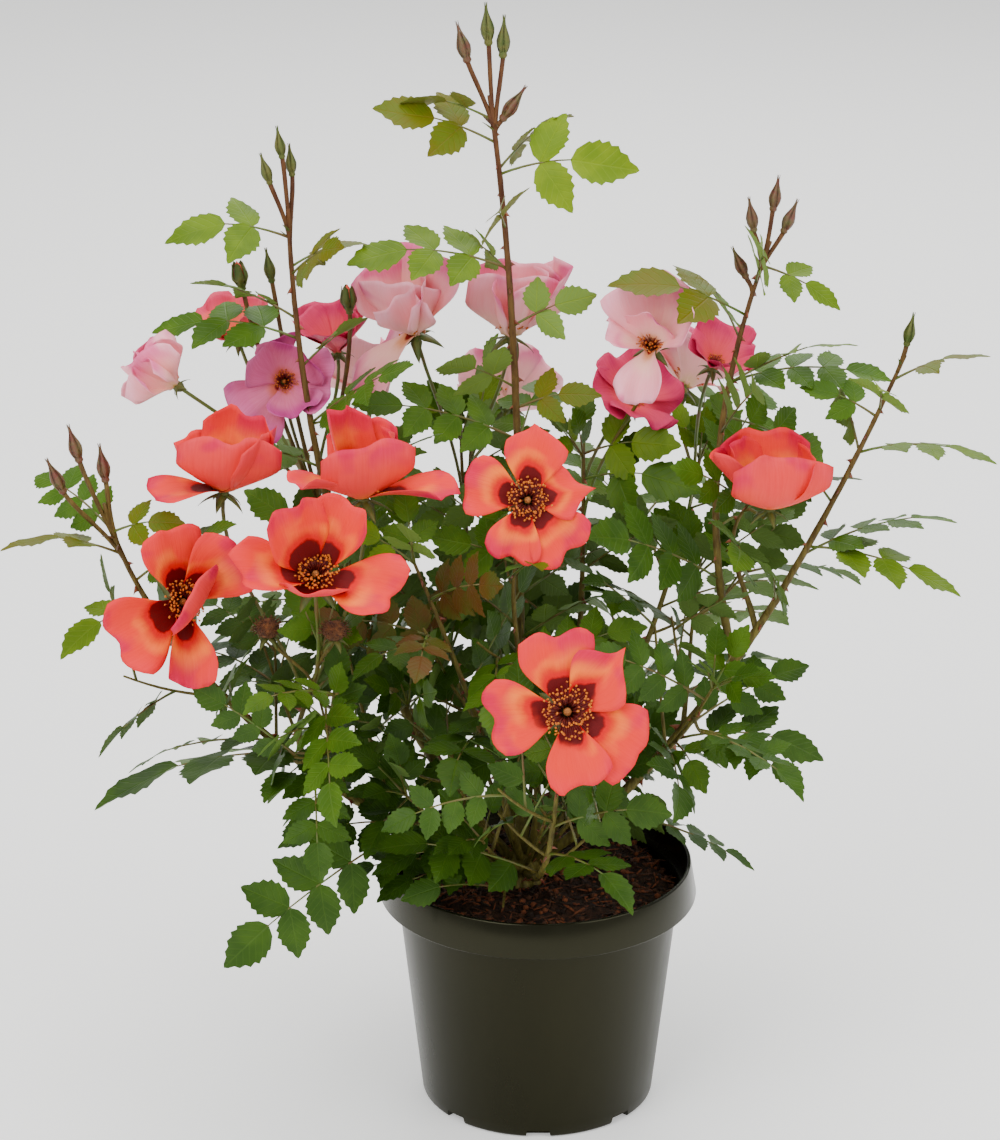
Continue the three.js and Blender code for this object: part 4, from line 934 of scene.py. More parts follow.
# Each tone of petal, for its face and its back: the eye, its edge, throat, blade, rim, blush,
# and the share of the petal that the eye takes.
PETAL_TONES = {
    "coral": [((96, 3, 7), (210, 0, 8), (255, 122, 28), (234, 50, 34), (234, 44, 50), (212, 0, 64), 0.46),
              ((240, 150, 58), (236, 100, 50), (234, 72, 54), (230, 54, 54), (228, 54, 64), (210, 8, 70),
               0.1)],
    "pink": [((150, 30, 30), (232, 160, 110), (250, 196, 180), (250, 168, 178), (252, 172, 190),
              (228, 104, 150), 0.12),
             ((226, 184, 110), (242, 196, 164), (250, 188, 180), (250, 172, 180), (252, 176, 192),
              (230, 112, 154), 0.1)],
    "rose": [((130, 20, 26), (214, 90, 60), (220, 70, 84), (206, 48, 88), (206, 50, 98), (186, 26, 86), 0.14),
             ((220, 140, 80), (220, 96, 80), (216, 70, 88), (210, 54, 92), (206, 56, 102), (190, 32, 90),
               0.1)],
    "plum": [((120, 20, 34), (214, 110, 90), (222, 124, 150), (208, 100, 146), (206, 106, 154),
              (186, 66, 134), 0.16),
             ((216, 150, 100), (220, 130, 144), (214, 114, 152), (208, 104, 150), (206, 106, 154),
              (188, 72, 136), 0.1)],
    "peach": [((170, 50, 30), (236, 140, 70), (238, 116, 84), (228, 86, 84), (226, 92, 116), (210, 54, 90),
               0.14),
              ((230, 170, 90), (236, 140, 90), (234, 108, 92), (228, 90, 96), (226, 92, 112), (212, 62, 98),
               0.1)],
}
PETAL_PARTS = ("Eye", "Eye edge", "Throat", "Blade", "Rim", "Blush", "Eye reach")
petal_finishes = {
    tone: [charted_finish(f"{tone}_petal{side}", petal_group, "Veins", dict(zip(PETAL_PARTS, colours)),
                          Roughness=0.55, Specular_IOR_Level=0.16)
           for side, colours in zip(("", "_back"), sides)]
    for tone, sides in PETAL_TONES.items()}
sepal_finish = mottled_finish("sepal", 160.0, (66, 84, 28), (94, 92, 38), 0.0004, Roughness=0.55,
                              Specular_IOR_Level=0.35)
FILAMENT, ANTHER, STYLES, SEPALS = range(4)
heart_finishes = [
    mottled_finish("filament", 500.0, (70, 10, 10), (130, 34, 14), Roughness=0.5),
    mottled_finish("anther", 900.0, (178, 66, 2), (224, 134, 8), 0.0003, Roughness=0.75),
    mottled_finish("styles", 800.0, (140, 76, 24), (190, 118, 48), 0.0005, Roughness=0.7),
    sepal_finish]
stalk_finish = mottled_finish("green_stalk", 60.0, (76, 102, 22), (98, 74, 30), 0.0003, Roughness=0.5)
GREEN_STALK = 2
wood_finishes = [bark, thorn_wood, stalk_finish]

bm = bmesh.new()
bmesh.ops.create_cone(bm, cap_ends=True, segments=3, radius1=1, radius2=0.8, depth=1)
cut_long_edges(bm, 2, 1)
bmesh.ops.translate(bm, verts=bm.verts, vec=(0, 0, 0.5))
filament = Shape(bm)
bm = bmesh.new()
bmesh.ops.create_icosphere(bm, subdivisions=1, radius=1)
for corner in bm.verts:
    corner.co.z *= 0.72
    corner.co.x *= 0.62 if abs(corner.co.y) < 0.3 else 0.8
anther = Shape(bm)
bm = bmesh.new()
bmesh.ops.create_uvsphere(bm, u_segments=12, v_segments=8, radius=1)
for corner in bm.verts:
    corner.co *= 1 + 0.14 * noise.noise(corner.co * 4.5)
knob = Shape(bm)


def two_skins(columns, rows, across):
    """Two grids in one place, back to back, with the under one let down by 1 along its middle.
    Across is the number of the axis that runs over that middle."""
    bm = bmesh.new()
    bmesh.ops.create_grid(bm, x_segments=columns, y_segments=rows, size=1)
    lower = bmesh.ops.duplicate(bm, geom=bm.verts[:] + bm.edges[:] + bm.faces[:])["geom"]
    lower_faces = [part for part in lower if isinstance(part, bmesh.types.BMFace)]
    bmesh.ops.reverse_faces(bm, faces=lower_faces)
    for corner in {corner for face in lower_faces for corner in face.verts}:
        if abs(corner.co[across]) < 0.5:
            corner.co.z = -1
    return bm, lower_faces


# A sepal: a narrow leaf-like blade that tapers to a long point, thicker along its middle.
bm, _ = two_skins(2, 7, 0)
bmesh.ops.remove_doubles(bm, verts=bm.verts, dist=0.001)
sepal = Shape(bm)
sepal_across, sepal_under = sepal.points[:, 0], sepal.points[:, 2]
sepal_along = (sepal.points[:, 1] + 1) / 2


def add_sepals(batch, seat, facing, length, breadth, low, high, turn, finish):
    """Five sepals round a seat, each rising from low to high degrees above the seat's plane."""
    side_way = square_to(facing, turn)
    for number in range(5):
        out = turned(side_way, facing, 72 * number)
        side = np.cross(facing, out)
        width = breadth * length * (1 - sepal_along) ** 0.8 * (0.35 + 1.6 * eased(sepal_along / 0.3)) * 0.62
        rise = np.radians(low + (high - low) * sepal_along)
        first, bend = radians(low), radians(high - low + 0.01)
        up = (cos(first) - np.cos(rise)) / bend * length - 0.3 * np.abs(sepal_across) * width
        placed = (seat + np.outer((np.sin(rise) - sin(first)) / bend * length, out) + np.outer(up, facing)
                  - np.outer(sepal_across * width, side) + np.outer(sepal_under * 0.5, facing))
        batch.add(sepal, placed, finish)


def add_filament(batch, foot, tip, across, radius, finish, bow=0):
    """A thread from foot to tip, bowed out at its middle."""
    inward = np.cross(unit(tip - foot), across)
    rise = filament.points[:, 2:3]
    spread = filament.points[:, 0:1] * radius * across + filament.points[:, 1:2] * radius * inward
    batch.add(filament, foot + (tip - foot) * rise + bow * 4 * rise * (1 - rise) + spread, finish)


def add_stalk(batch, course, foot, tip, ring, seed, finish):
    """A flower's, bud's or hip's stalk, with a ring of its mesh at every so many mm."""
    limb(batch, course, 0, 1, foot, tip, STALK_SIDES, max(5, int(course.length / ring)), relief=0.1, seed=seed,
         finish=finish)


for number, (name, (node, at, facing, radius, cup, tone, plan)) in enumerate(FLOWERS.items()):
    draw = draws(700 + number)
    mass = masses[node]
    facing = unit(facing)
    seat = np.array(at) - facing * radius * cup / 2
    course = stalk_course(mass, seat - facing * 4, facing)
    add_stalk(mass.wood, course, 1.1, 1.3, 8, number, GREEN_STALK)
    claim(course.at(np.linspace(0.25, 0.95, 8)), 1.5)
    right = unit(np.cross(UP, facing)) if abs(facing[2]) < 0.97 else np.array([1.0, 0, 0])
    top = np.cross(facing, right)
    middle_rise = np.degrees(np.arctan(cup * 1.15))
    petals = Batch()
    plan = plan or [
        (draw(0, 14) + 72 * turn + 17 * number, draw(0.95, 1.12), draw(0.62, 0.74), middle_rise + draw(12, 30),
         middle_rise + draw(-30, 40), draw(0.15, 0.35), draw(0, 0.12), draw(-1, 1)) for turn in range(5)]
    wavy = 0.05 if tone == "coral" else 0.09
    for turn, reach, breadth, low, high, fold, corner, corner_at in plan:
        out = right * cos(radians(turn)) + top * sin(radians(turn))
        side = np.cross(facing, out)
        length = radius * reach * (0.97 + 0.22 * cup)
        add_petal(petals, seat, out, side, facing, 0, reach=length, breadth=breadth, low=low, high=high,
                  fold=fold, corner=corner, corner_at=corner_at, ruffle=wavy * draw(0.6, 1.5),
                  notch=draw(0.0, 0.07),
                  sway=draw(-0.08, 0.08), phase=draw(0, 6.28))
    petals.piece(f"{name}_bloom_petals", petal_finishes[tone], "foliage", mass.node)
    claim(seat + np.outer([0.3, 0.8, 1.3], facing) * radius, radius * CLEAR_FACE)
    heart = Batch()
    spokes = np.arange(int(STAMENS * (1.0 if tone == "coral" else FADED_STAMENS) * min(1, radius / 40)))
    ring_share = np.sqrt((spokes + 0.5) / len(spokes))
    spread_out = 1.14 - 0.3 * cup
    for spoke, share in zip(spokes, ring_share):
        turn = radians(spoke * LEAF_TURN)
        out = right * cos(turn) + top * sin(turn)
        foot = seat + out * radius * (0.045 + 0.035 * share) + facing * 0.5
        wide = radius * (0.1 + 0.2 * share) * spread_out * draw(0.75, 1.15)
        tip = seat + out * wide + facing * radius * (0.2 + 0.12 * cup - 0.06 * share) * draw(0.8, 1.15)
        bow = (facing - out * 0.3) * radius * 0.05
        add_filament(heart, foot, tip, np.cross(out, unit(tip - foot)), 0.28, FILAMENT, bow)
        way = unit(out * draw(-1, 1) + facing * draw(-0.4, 0.8) + np.cross(facing, out) * draw(-1, 1))
        wing = unit(np.cross(way, facing + 0.01))
        pose = np.array([wing, way, np.cross(wing, way)]) * draw(0.017, 0.027) * min(radius, 46)
        heart.add(anther, anther.points @ pose + tip, ANTHER)
    pose = np.array([right, top, facing])
    heart.add(knob, (knob.points * (radius * 0.05, radius * 0.05, radius * 0.06)) @ pose
              + seat + facing * radius * 0.1, STYLES)
    heart.add(knob, (knob.points * GREEN_HIP) @ pose + seat - facing * 2.6, SEPALS)
    add_sepals(heart, seat - facing * 0.9, facing, radius * 0.5, 0.2, -12, -56, draw(0, 72), SEPALS)
    heart.piece(f"{name}_bloom_heart", heart_finishes, "foliage", mass.node)

# ---- buds and spent flowers ---------------------------------------------------------
# Slim pointed buds stand in clusters at the tips of the stems, each in five long-tailed sepals,
# most with a narrow bract low on the stalk. Spent flowers leave round brown hips with dried
# stamens all over.
# A cluster is its mass, the length of its buds, its tone and the middles of its buds.
BUDS = [
    ("centre_tall", 24, "green", [(-33, 62, 714), (-50, 58, 703), (-22, 66, 705), (-11, 60, 661)]),
    ("left_tall", 19, "green", [(-165, 62, 638), (-175, 56, 622), (-158, 68, 625)]),
    ("upright", 21, "red", [(149, 45, 609), (131, 40, 596), (161, 50, 592), (122, 38, 564)]),
    ("left_low", 23, "red", [(-290, -62, 478), (-272, -58, 464), (-303, -68, 458)]),
    ("right", 20, "green", [(233, 0, 533)]),
    ("back_left", 21, "opening", [(-195, 90, 543), (-176, 100, 545), (-124, 100, 524)]),
]
RED_SHARE = 0.25                 # share of the other clusters' buds with red sepals
STILL_SHUT = 1                   # number of the bud that hasn't opened in an opening cluster
BRACTED, BRACT_AT = 0.8, 0.12    # share of the stalks with a bract, and of a stalk below it
HIPS = [(-171, -80, 364), (-128, -104, 372)]
HIP_RADIUS = 9
HIP_THREADS = 150
# Radii of a bud, shares of its length, at shares of its length.
BUD_RADII = ([0, 0.03, 0.12, 0.2, 0.26, 0.4, 0.55, 0.72, 0.88, 1],
             [0, 0.07, 0.115, 0.095, 0.11, 0.165, 0.15, 0.09, 0.035, 0])

bm = bmesh.new()
bmesh.ops.create_uvsphere(bm, u_segments=10, v_segments=14, radius=1)
for corner in bm.verts:
    share = (corner.co.z + 1) / 2
    round_way = Vector((corner.co.x, corner.co.y, 0)).normalized() if 0.0005 < share < 0.9995 else Vector()
    corner.co = round_way * float(np.interp(share, *BUD_RADII))
    corner.co.z = share
bud = Shape(bm)

GREEN_CALYX, RED_CALYX, OPEN_CORE, DRIED, BARKED = range(5)
bud_finishes = [
    sepal_finish,
    mottled_finish("red_sepal", 170.0, (98, 46, 30), (88, 80, 36), 0.0004, Roughness=0.5),
    mottled_finish("bud_petal", 130.0, (206, 34, 32), (240, 92, 60), stretch=(1, 1, 0.4), Roughness=0.45),
    mottled_finish("dry_brown", 330.0, (54, 26, 11), (112, 66, 28), 0.0006, Roughness=0.9),
    bark]


def wrap_sepals(batch, foot, way, length, swell, reach, open_by, turn, finish):
    """Five sepals that wrap a bud and run out to a share of its length as thin tails."""
    start = square_to(way, turn)
    sideways = np.cross(way, start)
    share = 0.2 + reach * sepal_along
    body = np.interp(share, *BUD_RADII) * swell * length + 0.4 + sepal_under * 0.25
    body = body + length * (open_by * sepal_along ** 1.5 + 0.07 * np.clip(share - 0.85, 0, 1))
    half = np.radians(np.interp(sepal_along, [0, 0.25, 0.6, 0.85, 1], [22, 37, 32, 34, 5]))
    tail = np.where(share > 0.82, sepal_across * 0.02 * length * (1.2 - share), 0)
    for number in range(5):
        angle = 2 * pi * number / 5 + sepal_across * half
        placed = (foot + np.outer(np.cos(angle) * body, start) + np.outer(np.sin(angle) * body, sideways)
                  + np.outer(share * length + tail, way))
        batch.add(sepal, placed, finish)


for node, length, tone, places in BUDS:
    mass = masses[node]
    draw = draws(900 + mass.seed)
    buds = Batch()
    for number, at in enumerate(places):
        at = np.array(at, float)
        along = unit(UP + 0.2 * unit((at[0], at[1], 0)))
        course = stalk_course(mass, at + along * length / 2, along)
        base = 1 - length / course.length
        limb(buds, course, 0, base + 0.02, 1.4, 1.6, STALK_SIDES, max(5, int(course.length / 6)),
             relief=0.1, seed=number, finish=BARKED)
        claim(course.at(np.linspace(0.3, 1, 7)), 2.5)
        foot, way = course.at(base), unit(course.at(1) - course.at(base))
        side = square_to(way, draw(0, 360))
        pose = np.array([side, np.cross(way, side), way]) * length
        calyx = RED_CALYX if tone == "red" or draw(0, 1) < RED_SHARE else GREEN_CALYX
        opened = tone == "opening" and number != STILL_SHUT
        buds.add(bud, (bud.points * (1.12, 1.12, 0.6 if opened else 0.93)) @ pose + foot, calyx)
        if opened:
            buds.add(bud, (bud.points * (1.45, 1.45, 0.8) + (0, 0, 0.2)) @ pose + foot, OPEN_CORE)
        swell, reach, open_by = (1.4, 0.75, 0.14) if opened else (1.12, 0.98, 0.01)
        wrap_sepals(buds, foot, way, length, swell, reach, open_by, draw(0, 72), calyx)
        if draw(0, 1) < BRACTED:
            stem = course.along(BRACT_AT)
            out = square_to(stem, draw(0, 360))
            reach = draw(9, 14)
            width = reach * 0.17 * np.sin(pi * sepal_along ** 0.7)
            way = unit(out + stem * 1.2)
            side = np.cross(out, way)
            droop = sepal_under * 0.4 - sepal_along ** 2 * 2 + np.abs(sepal_across) * width * 0.5
            placed = (course.at(BRACT_AT) + np.outer(sepal_along * reach, way)
                      + np.outer(sepal_across * width, side) + np.outer(droop, np.cross(side, way)))
            buds.add(sepal, placed, calyx)
    buds.piece(f"{mass.name}_buds", bud_finishes, "foliage", mass.node)

hips = Batch()
for number, at in enumerate(HIPS):
    at = np.array(at, float)
    course = stalk_course(masses["left_mid"], at, UP)
    add_stalk(hips, course, 1.0, 1.3, 6, number, BARKED)
    hips.add(knob, knob.points * HIP_RADIUS * (0.86, 0.86, 0.7) + at, DRIED)
    claim(at + knob.points[::3] * HIP_RADIUS, 3)
    draw = draws(60 + number)
    for spoke in range(HIP_THREADS):
        out = heading(spoke * LEAF_TURN, np.degrees(np.arcsin(-0.35 + 1.3 * spoke / HIP_THREADS)))
        foot = at + out * HIP_RADIUS * (0.8, 0.8, 0.62)
        tip = foot + unit(out + heading(draw(0, 360), draw(-60, 20)) * 0.5) * draw(2.2, 4.8)
        add_filament(hips, foot, tip, square_to(unit(tip - foot), 0), 0.25, DRIED)
    add_sepals(hips, at - UP * HIP_RADIUS * 0.5, UP, 13, 0.22, -10, -70, draw(0, 72), GREEN_CALYX)
hips.piece("left_mid_hips", bud_finishes, "foliage", "left_mid_foliage")

# ---- leaves -------------------------------------------------------------------------
# Compound leaves of three, five or seven toothed leaflets on a thin stalk, one to each node and
# each a turn further round its stem. Old leaves low down are dark green, the new ones at the
# stems' tips yellow-green or bronze, and all are paler underneath.
NODE_GAP, TWIG_NODE_GAP = 36, 26
LEAF_SLOPE = 56          # degrees between a leaf and its stem
LEAFLET = 38             # length of the leaflet at a leaf's tip
LEAFLET_BREADTH = 0.68   # as a share of its length
# As shares of the tip leaflet's length: the side leaflets, the stalk below the first pair, the
# step from pair to pair and the last step to the tip leaflet.
SIDE_SIZE, STALK, PAIR_STEP, LAST_STEP = 0.86, 0.62, 0.62, 0.44
LEAF_ROOM, LEAF_HOLD = 3.0, 2.6      # room a leaflet looks for, and room it then holds
PAIR_SPLAY = 62          # degrees between a side leaflet and the midrib
DROOP = 0.2
FACE_UP, FACE_OUT = 0.6, 0.8
TOP_LOSS = 0.25          # how much smaller the leaves get towards the tip of a stem
FIVE_SHARE = 0.4         # share of the leaves with five leaflets; the rest have seven, but
SEVEN_TOP = 460          # above this height they have three
TURN_TRIES = 5
TRY_TURN = 72
TWIG_TOP = 350           # no side twigs above this height
TWIG_GAP = 46            # length of stem from one side twig to the next, about
TWIG_SIZE = 0.92         # size of a twig's leaves
TIP_LEAF = 25            # length of the leaflets at a stem's tip
BRONZE_ABOVE = 0.7       # share of the young cane past which its leaves are bronze
TONE_LIMITS = (("dark", 0.18), ("mid", 0.55), ("fresh", 0.8), ("bright", 0.95))      # by newness
# Masses without twigs, and how many times further apart their leaves stand.
AIRY = {"low_front": 2, "low_right": 2, "mid_right": 1.5}
LEAF_TONES = {           # blade, patches, veins and underside
    "dark": ((44, 72, 13), (56, 85, 17), (82, 114, 32), (78, 102, 42)),
    "mid": ((57, 88, 12), (71, 102, 16), (97, 128, 34), (90, 118, 46)),
    "fresh": ((80, 106, 8), (96, 122, 11), (118, 142, 34), (104, 130, 54)),
    "bright": ((94, 120, 7), (112, 134, 9), (134, 156, 34), (110, 138, 58)),
    "olive": ((94, 92, 7), (84, 98, 8), (122, 86, 22), (102, 110, 40)),
    "bronze": ((80, 52, 12), (66, 70, 12), (106, 56, 24), (92, 80, 34)),
}
# Leaves with a place of their own: mass, foot, tip, pairs of leaflets, tilt (degrees that the
# leaf's face is turned from straight up towards the front), tone, and stalk if it is longer.
REACHING = [
    ("left_low", (-264, -60, 402), (-337, -75, 421), 1, -12, "olive"),
    ("left_low", (-252, -60, 369), (-303, -90, 353), 1, 10, "fresh"),
    ("left_low", (-268, -60, 422), (-222, -74, 432), 1, 40, "olive"),
    ("low_left", (-98, -42, 208), (-203, -110, 142), 3, 74, "dark", 1.5),
    ("left_outside", (-140, -55, 268), (-286, -90, 250), 2, -12, "dark"),
    ("right", (206, -5, 455), (291, -20, 453), 2, -10, "fresh"),
    ("right", (168, -8, 392), (271, -25, 364), 2, 6, "fresh"),
    ("right", (222, -2, 500), (284, -5, 522), 1, -8, "olive"),
    ("right", (216, -4, 480), (166, 10, 496), 1, 34, "mid"),
    ("right_outside", (96, 4, 290), (184, -60, 268), 2, 24, "dark"),
    ("right_outside", (64, -44, 260), (104, -80, 253), 1, 60, "mid"),
    ("upright", (126, 36, 532), (46, 25, 562), 1, 18, "olive"),
    ("upright", (140, 42, 566), (193, 30, 540), 1, 16, "fresh"),
    ("upright", (116, 34, 490), (228, 30, 490), 3, 12, "mid"),
    ("upright", (108, 32, 470), (190, 60, 424), 2, 50, "mid"),
    ("centre_tall", (-30, 60, 640), (-106, 48, 664), 1, 30, "olive"),
    ("centre_tall", (-27, 60, 624), (63, 45, 626), 1, 55, "bright"),
    ("centre_tall", (-24, 62, 557), (-124, 40, 569), 2, 20, "fresh"),
    ("left_tall", (-160, 60, 560), (-112, 50, 581), 1, 6, "olive"),
    ("left_tall", (-161, 60, 578), (-240, 50, 584), 1, 26, "fresh"),
    ("centre_tall", (-22, 62, 447), (-122, 40, 471), 3, 28, "mid"),
    ("centre_tall", (-22, 62, 462), (40, 45, 478), 1, 40, "olive"),
    ("mid_right", (30, 80, 421), (92, 50, 440), 1, 56, "fresh"),
    ("mid_right", (30, 78, 404), (104, 36, 414), 1, 52, "mid"),
    ("mid", (-16, -36, 392), (-72, -44, 412), 1, 60, "mid"),
    ("left_tall", (-158, 56, 450), (-106, 40, 456), 1, 64, "mid"),
    ("left_tall", (-157, 58, 510), (-255, 90, 505), 2, 18, "mid"),
]

# A leaflet: two thin skins that meet in a toothed rim, hollowed a little along the midrib.
TEETH = 7
bm, under_faces = two_skins(2 * TEETH, 2, 1)
for face in under_faces:
    face.material_index = 1
for corner in bm.verts:
    column = round((corner.co.x + 1) * TEETH)
    share = column / (2 * TEETH)
    at_end = share in (0, 1)
    half = 0.0 if at_end else sin(pi * share ** 0.8) ** (0.6 + 0.55 * share)
    tooth = abs(corner.co.y) > 0.5 and column % 2 == 1 and share > 0.1
    corner.co.y *= 0.0 if at_end else max(0.04, half) * (1.07 if tooth else 0.92)
    corner.co.x = share + (0.028 if tooth else 0.0)
    if at_end:
        corner.co.z = 0
bmesh.ops.remove_doubles(bm, verts=bm.verts, dist=0.002)
bmesh.ops.dissolve_degenerate(bm, edges=bm.edges, dist=1e-5)
leaflet = Shape(bm)
leaflet_along, leaflet_across = leaflet.points[:, 0], leaflet.points[:, 1]
leaflet_under = leaflet.points[:, 2] < -0.5
leaflet_rim = (np.abs(leaflet_across) > 0.001) | (leaflet_along < 0.001) | (leaflet_along > 0.999)
leaflet_chart = np.stack([(leaflet_across + 1) / 2, leaflet_along], axis=1)

# Leaf colouring: a pale midrib and side veins that run out to the teeth, over mottled green.
leaf_group, taken_in, given_out = new_group(
    "leaf_colouring", ["Surface", "Object"], ["Blade", "Patch", "Vein"], {"Vein strength": 0.5},
    ["Color", "Height"])
across, along, _ = add_node(leaf_group, "ShaderNodeSeparateXYZ", {0: taken_in["Surface"]}).outputs
off_rib = maths(leaf_group, "ABSOLUTE", maths(leaf_group, "SUBTRACT", across, 0.5))
slant = maths(leaf_group, "SUBTRACT", along, maths(leaf_group, "MULTIPLY", off_rib, 0.62))
wave = maths(leaf_group, "PINGPONG", maths(leaf_group, "MULTIPLY", slant, 2.0 * TEETH), 1.0)
side_veins = maths(leaf_group, "MULTIPLY", step_up(leaf_group, wave, 0.3, 0.0), 0.6)
veined = maths(leaf_group, "MAXIMUM", step_up(leaf_group, off_rib, 0.035, 0.0), side_veins)
patchy = step_up(leaf_group, noise_at(leaf_group, taken_in["Object"], 55.0, 3.0), 0.35, 0.68)
colour = mixed(leaf_group, maths(leaf_group, "MULTIPLY", veined, taken_in["Vein strength"]),
               mixed(leaf_group, patchy, taken_in["Blade"], taken_in["Patch"]), taken_in["Vein"])
leaf_group.links.new(colour, given_out["Color"])
leaf_group.links.new(maths(leaf_group, "SUBTRACT", 1.0, veined), given_out["Height"])

leaf_finishes = []
for tone, (blade, patch, vein, under) in LEAF_TONES.items():
    for name, first, second, strength, gloss in [("leaf", blade, patch, 0.22, 0.46),
                                                 ("leaf_under", under, under, 0.5, 0.6)]:
        leaf_finishes.append(charted_finish(
            f"{tone}_{name}", leaf_group, "Height",
            {"Blade": first, "Patch": second, "Vein": vein, "Vein strength": strength},
            Roughness=gloss, Specular_IOR_Level=0.15))


def leaf_reach(pairs, stalk=STALK):
    """The length of a leaf of so many pairs, as a multiple of its last leaflet's."""
    return stalk + PAIR_STEP * (pairs - 1) + LAST_STEP + 1


def lay_out_leaf(foot, tip, pairs, look, roll, stalk):
    """A leaf's drooping midrib, and the root, heading, face and length of each leaflet."""
    way = tip - foot
    reach = np.linalg.norm(way)
    length = reach / leaf_reach(pairs, stalk)
    lift = reach * DROOP * (1 - abs(way[2] / reach))
    course = Course(foot, (foot + tip) / 2 + UP * lift, tip)
    blades = []
    runs = [(stalk + PAIR_STEP * pair) * length for pair in range(pairs)]
    runs.append((leaf_reach(pairs, stalk) - 1) * length)
    middles, ways = course.at(np.array(runs) / reach), course.along(np.array(runs) / reach)
    for run, middle, along in zip(runs, middles, ways):
        face = turned(unit(look - along * (look @ along)), along, roll)
        if run == runs[-1]:
            blades.append((middle, unit(tip - middle), face, length))
        else:
            for side in (1, -1):
                blades.append((middle, turned(along, face, side * PAIR_SPLAY), face, length * SIDE_SIZE))
    return course, blades, runs[-1] / reach


def add_leaf(mass, foot, tip, pairs, look, roll, tone, draw, firm=False, stalk=STALK):
    """Adds a leaf where it is free, or anywhere if it is firm. Side leaflets that would touch a
    neighbour are left out."""
    course, blades, last = lay_out_leaf(foot, tip, pairs, look, roll, stalk)
    kept = []
    for blade in blades:
        root, way, face, length = blade
        across = np.cross(face, way) * length * LEAFLET_BREADTH * 0.3
        spots = np.array([root + way * length * 0.35, root + way * length * 0.7, root + way * length * 0.97,
                          root + way * length * 0.5 + across, root + way * length * 0.5 - across])
        if firm or is_free(spots, LEAF_ROOM):
            kept.append((blade, spots))
    if not kept or kept[-1][0] is not blades[-1]:
        return False
    if not firm and not is_free(course.at(np.linspace(0.25, last, 4)), 0.5):
        return False
    limb(mass.wood, course, 0, last + 0.01, 1.0, 0.45, 5, 7, finish=GREEN_STALK)
    claim(course.at(np.linspace(0.3, last, 4)), 1.0)
    for (root, way, face, length), spots in kept:
        claim(spots, LEAF_HOLD)
        x, y = leaflet_along, leaflet_across * LEAFLET_BREADTH / 2 * draw(0.92, 1.06)
        fold, arch, twist, curl, sway = (draw(0.1, 0.42), draw(0.02, 0.26), draw(-0.25, 0.25), draw(0.1, 0.9),
                                         draw(-0.08, 0.08))
        z = fold * np.abs(y) - arch * x * x - curl * y * y + twist * x * y - 0.013 * leaflet_under
        z = z + 0.02 * np.sin(9 * x + 20 * sway) * np.abs(y) / 0.4
        local = np.stack([x, y + sway * x * x, z], axis=1) * length
        mass.leaves.add(leaflet, local @ np.array([way, np.cross(face, way), face]) + root,
                        2 * list(LEAF_TONES).index(tone), leaflet_chart, leaflet_rim)
    return True


def tone_at(place, share, draw):
    """The colour of a leaf by its height and its place on the stem: new growth is paler."""
    newness = (place[2] - 290) / 330 + 0.25 * (share - 0.5) + draw(-0.2, 0.2)
    for tone, limit in TONE_LIMITS:
        if newness < limit:
            return tone
    return "olive" if draw(0, 1) < 0.75 else "bronze"


for node, foot, tip, pairs, tilt, tone, *stalk in REACHING:
    mass = masses[node]
    look = np.array([0, -sin(radians(tilt)), cos(radians(tilt))])
    add_leaf(mass, mass.course.at(mass.nearest(foot)), np.array(tip, float), pairs, look, 0, tone,
             draws(tip[0] + 4000), firm=True, stalk=stalk[0] if stalk else STALK)


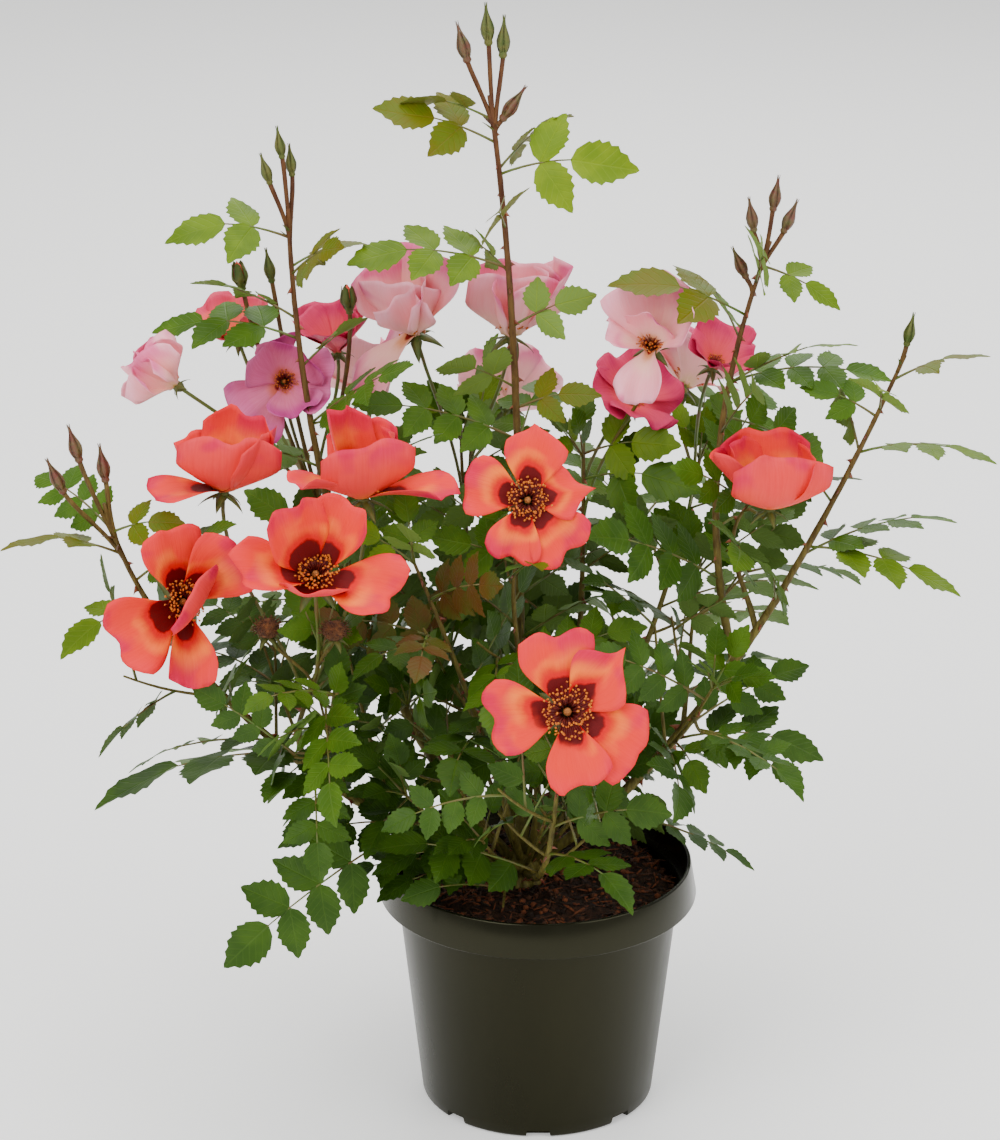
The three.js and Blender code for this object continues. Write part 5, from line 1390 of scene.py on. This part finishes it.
def grow_leaves(mass, course, start, gap, size_to, seed):
    """Leaves along a stem or twig, each a turn on from the last. Where the place is taken a leaf
    is turned on round the stem, and left out if it fits nowhere."""
    draw = draws(seed)
    turn = draw(0, 360)
    run = start * course.length + gap * 0.3
    while run < course.length * 0.98:
        share = run / course.length
        foot, way = course.at(share), course.along(share)
        slope = radians(LEAF_SLOPE + draw(-8, 12))
        size = LEAFLET * (1 - TOP_LOSS * share) * draw(0.82, 1.08) * size_to
        pairs = 2 if draw(0, 1) < FIVE_SHARE else (3 if foot[2] < SEVEN_TOP else 1)
        roll = draw(-32, 32)
        tone = tone_at(foot, share, draw)
        if mass.name == "young" and share > BRONZE_ABOVE:
            tone = "bronze"
        for attempt in range(TURN_TRIES):
            out = square_to(way, turn + attempt * TRY_TURN)
            lean = way * cos(slope) + out * sin(slope)
            lean[2] *= 0.7
            tip = foot + unit(lean) * size * leaf_reach(pairs)
            outward = unit((tip[0] - CROWN_AT[0], tip[1] - CROWN_AT[1], 0))
            if add_leaf(mass, foot, tip, pairs, UP * FACE_UP + outward * FACE_OUT, roll, tone, draw):
                break
        turn += LEAF_TURN
        run += gap * draw(0.8, 1.15)


for mass in masses.values():
    draw = draws(mass.seed + 500)
    course = mass.course
    turn = draw(0, 360)
    run = mass.leafy * course.length + 8
    while run < 0.85 * course.length:
        share = run / course.length
        foot, way = course.at(share), course.along(share)
        if foot[2] < TWIG_TOP and mass.name not in AIRY:
            lean = unit(way * 0.62 + square_to(way, turn) * 0.78)
            reach = draw(40, 74)
            twig = Course(foot, foot + lean * reach * 0.5, foot + lean * reach + UP * reach * 0.2)
            if is_free(twig.at(np.linspace(0.25, 1, 6)), 1.5):
                limb(mass.wood, twig, 0, 1, 1.25, 0.75, 6, 9, relief=0.1, seed=run)
                claim(twig.at(np.linspace(0.2, 1, 8)), 1.0)
                mass.twigs.append((twig, int(run)))
        run += TWIG_GAP * draw(0.7, 1.3)
        turn += LEAF_TURN
budded = {node for node, *_ in BUDS}
for mass in masses.values():
    draw = draws(mass.seed + 2000)
    foot, way = mass.course.at(0.99), mass.course.along(0.99)
    turn = draw(0, 360)
    for _ in range(0 if mass.name in budded else 2 * TURN_TRIES):
        lean = unit(way + square_to(way, turn) * draw(0.4, 0.8))
        tip = foot + lean * TIP_LEAF * leaf_reach(1) * draw(0.85, 1.1)
        look = UP - lean * 0.3 + (0, -0.6, 0)
        add_leaf(mass, foot, tip, 1, look, draw(-20, 20), tone_at(foot, 0.9, draw), draw)
        turn += LEAF_TURN
for mass in masses.values():
    grow_leaves(mass, mass.course, mass.leafy, NODE_GAP * AIRY.get(mass.name, 1), 1.0, mass.seed)
for mass in masses.values():
    for twig, number in mass.twigs:
        grow_leaves(mass, twig, 0.36, TWIG_NODE_GAP, TWIG_SIZE, mass.seed + 1000 + number)
    mass.wood.piece(f"{mass.name}_wood", wood_finishes, "foliage", mass.node)
    mass.leaves.piece(f"{mass.name}_leaves", leaf_finishes, "foliage", mass.node)
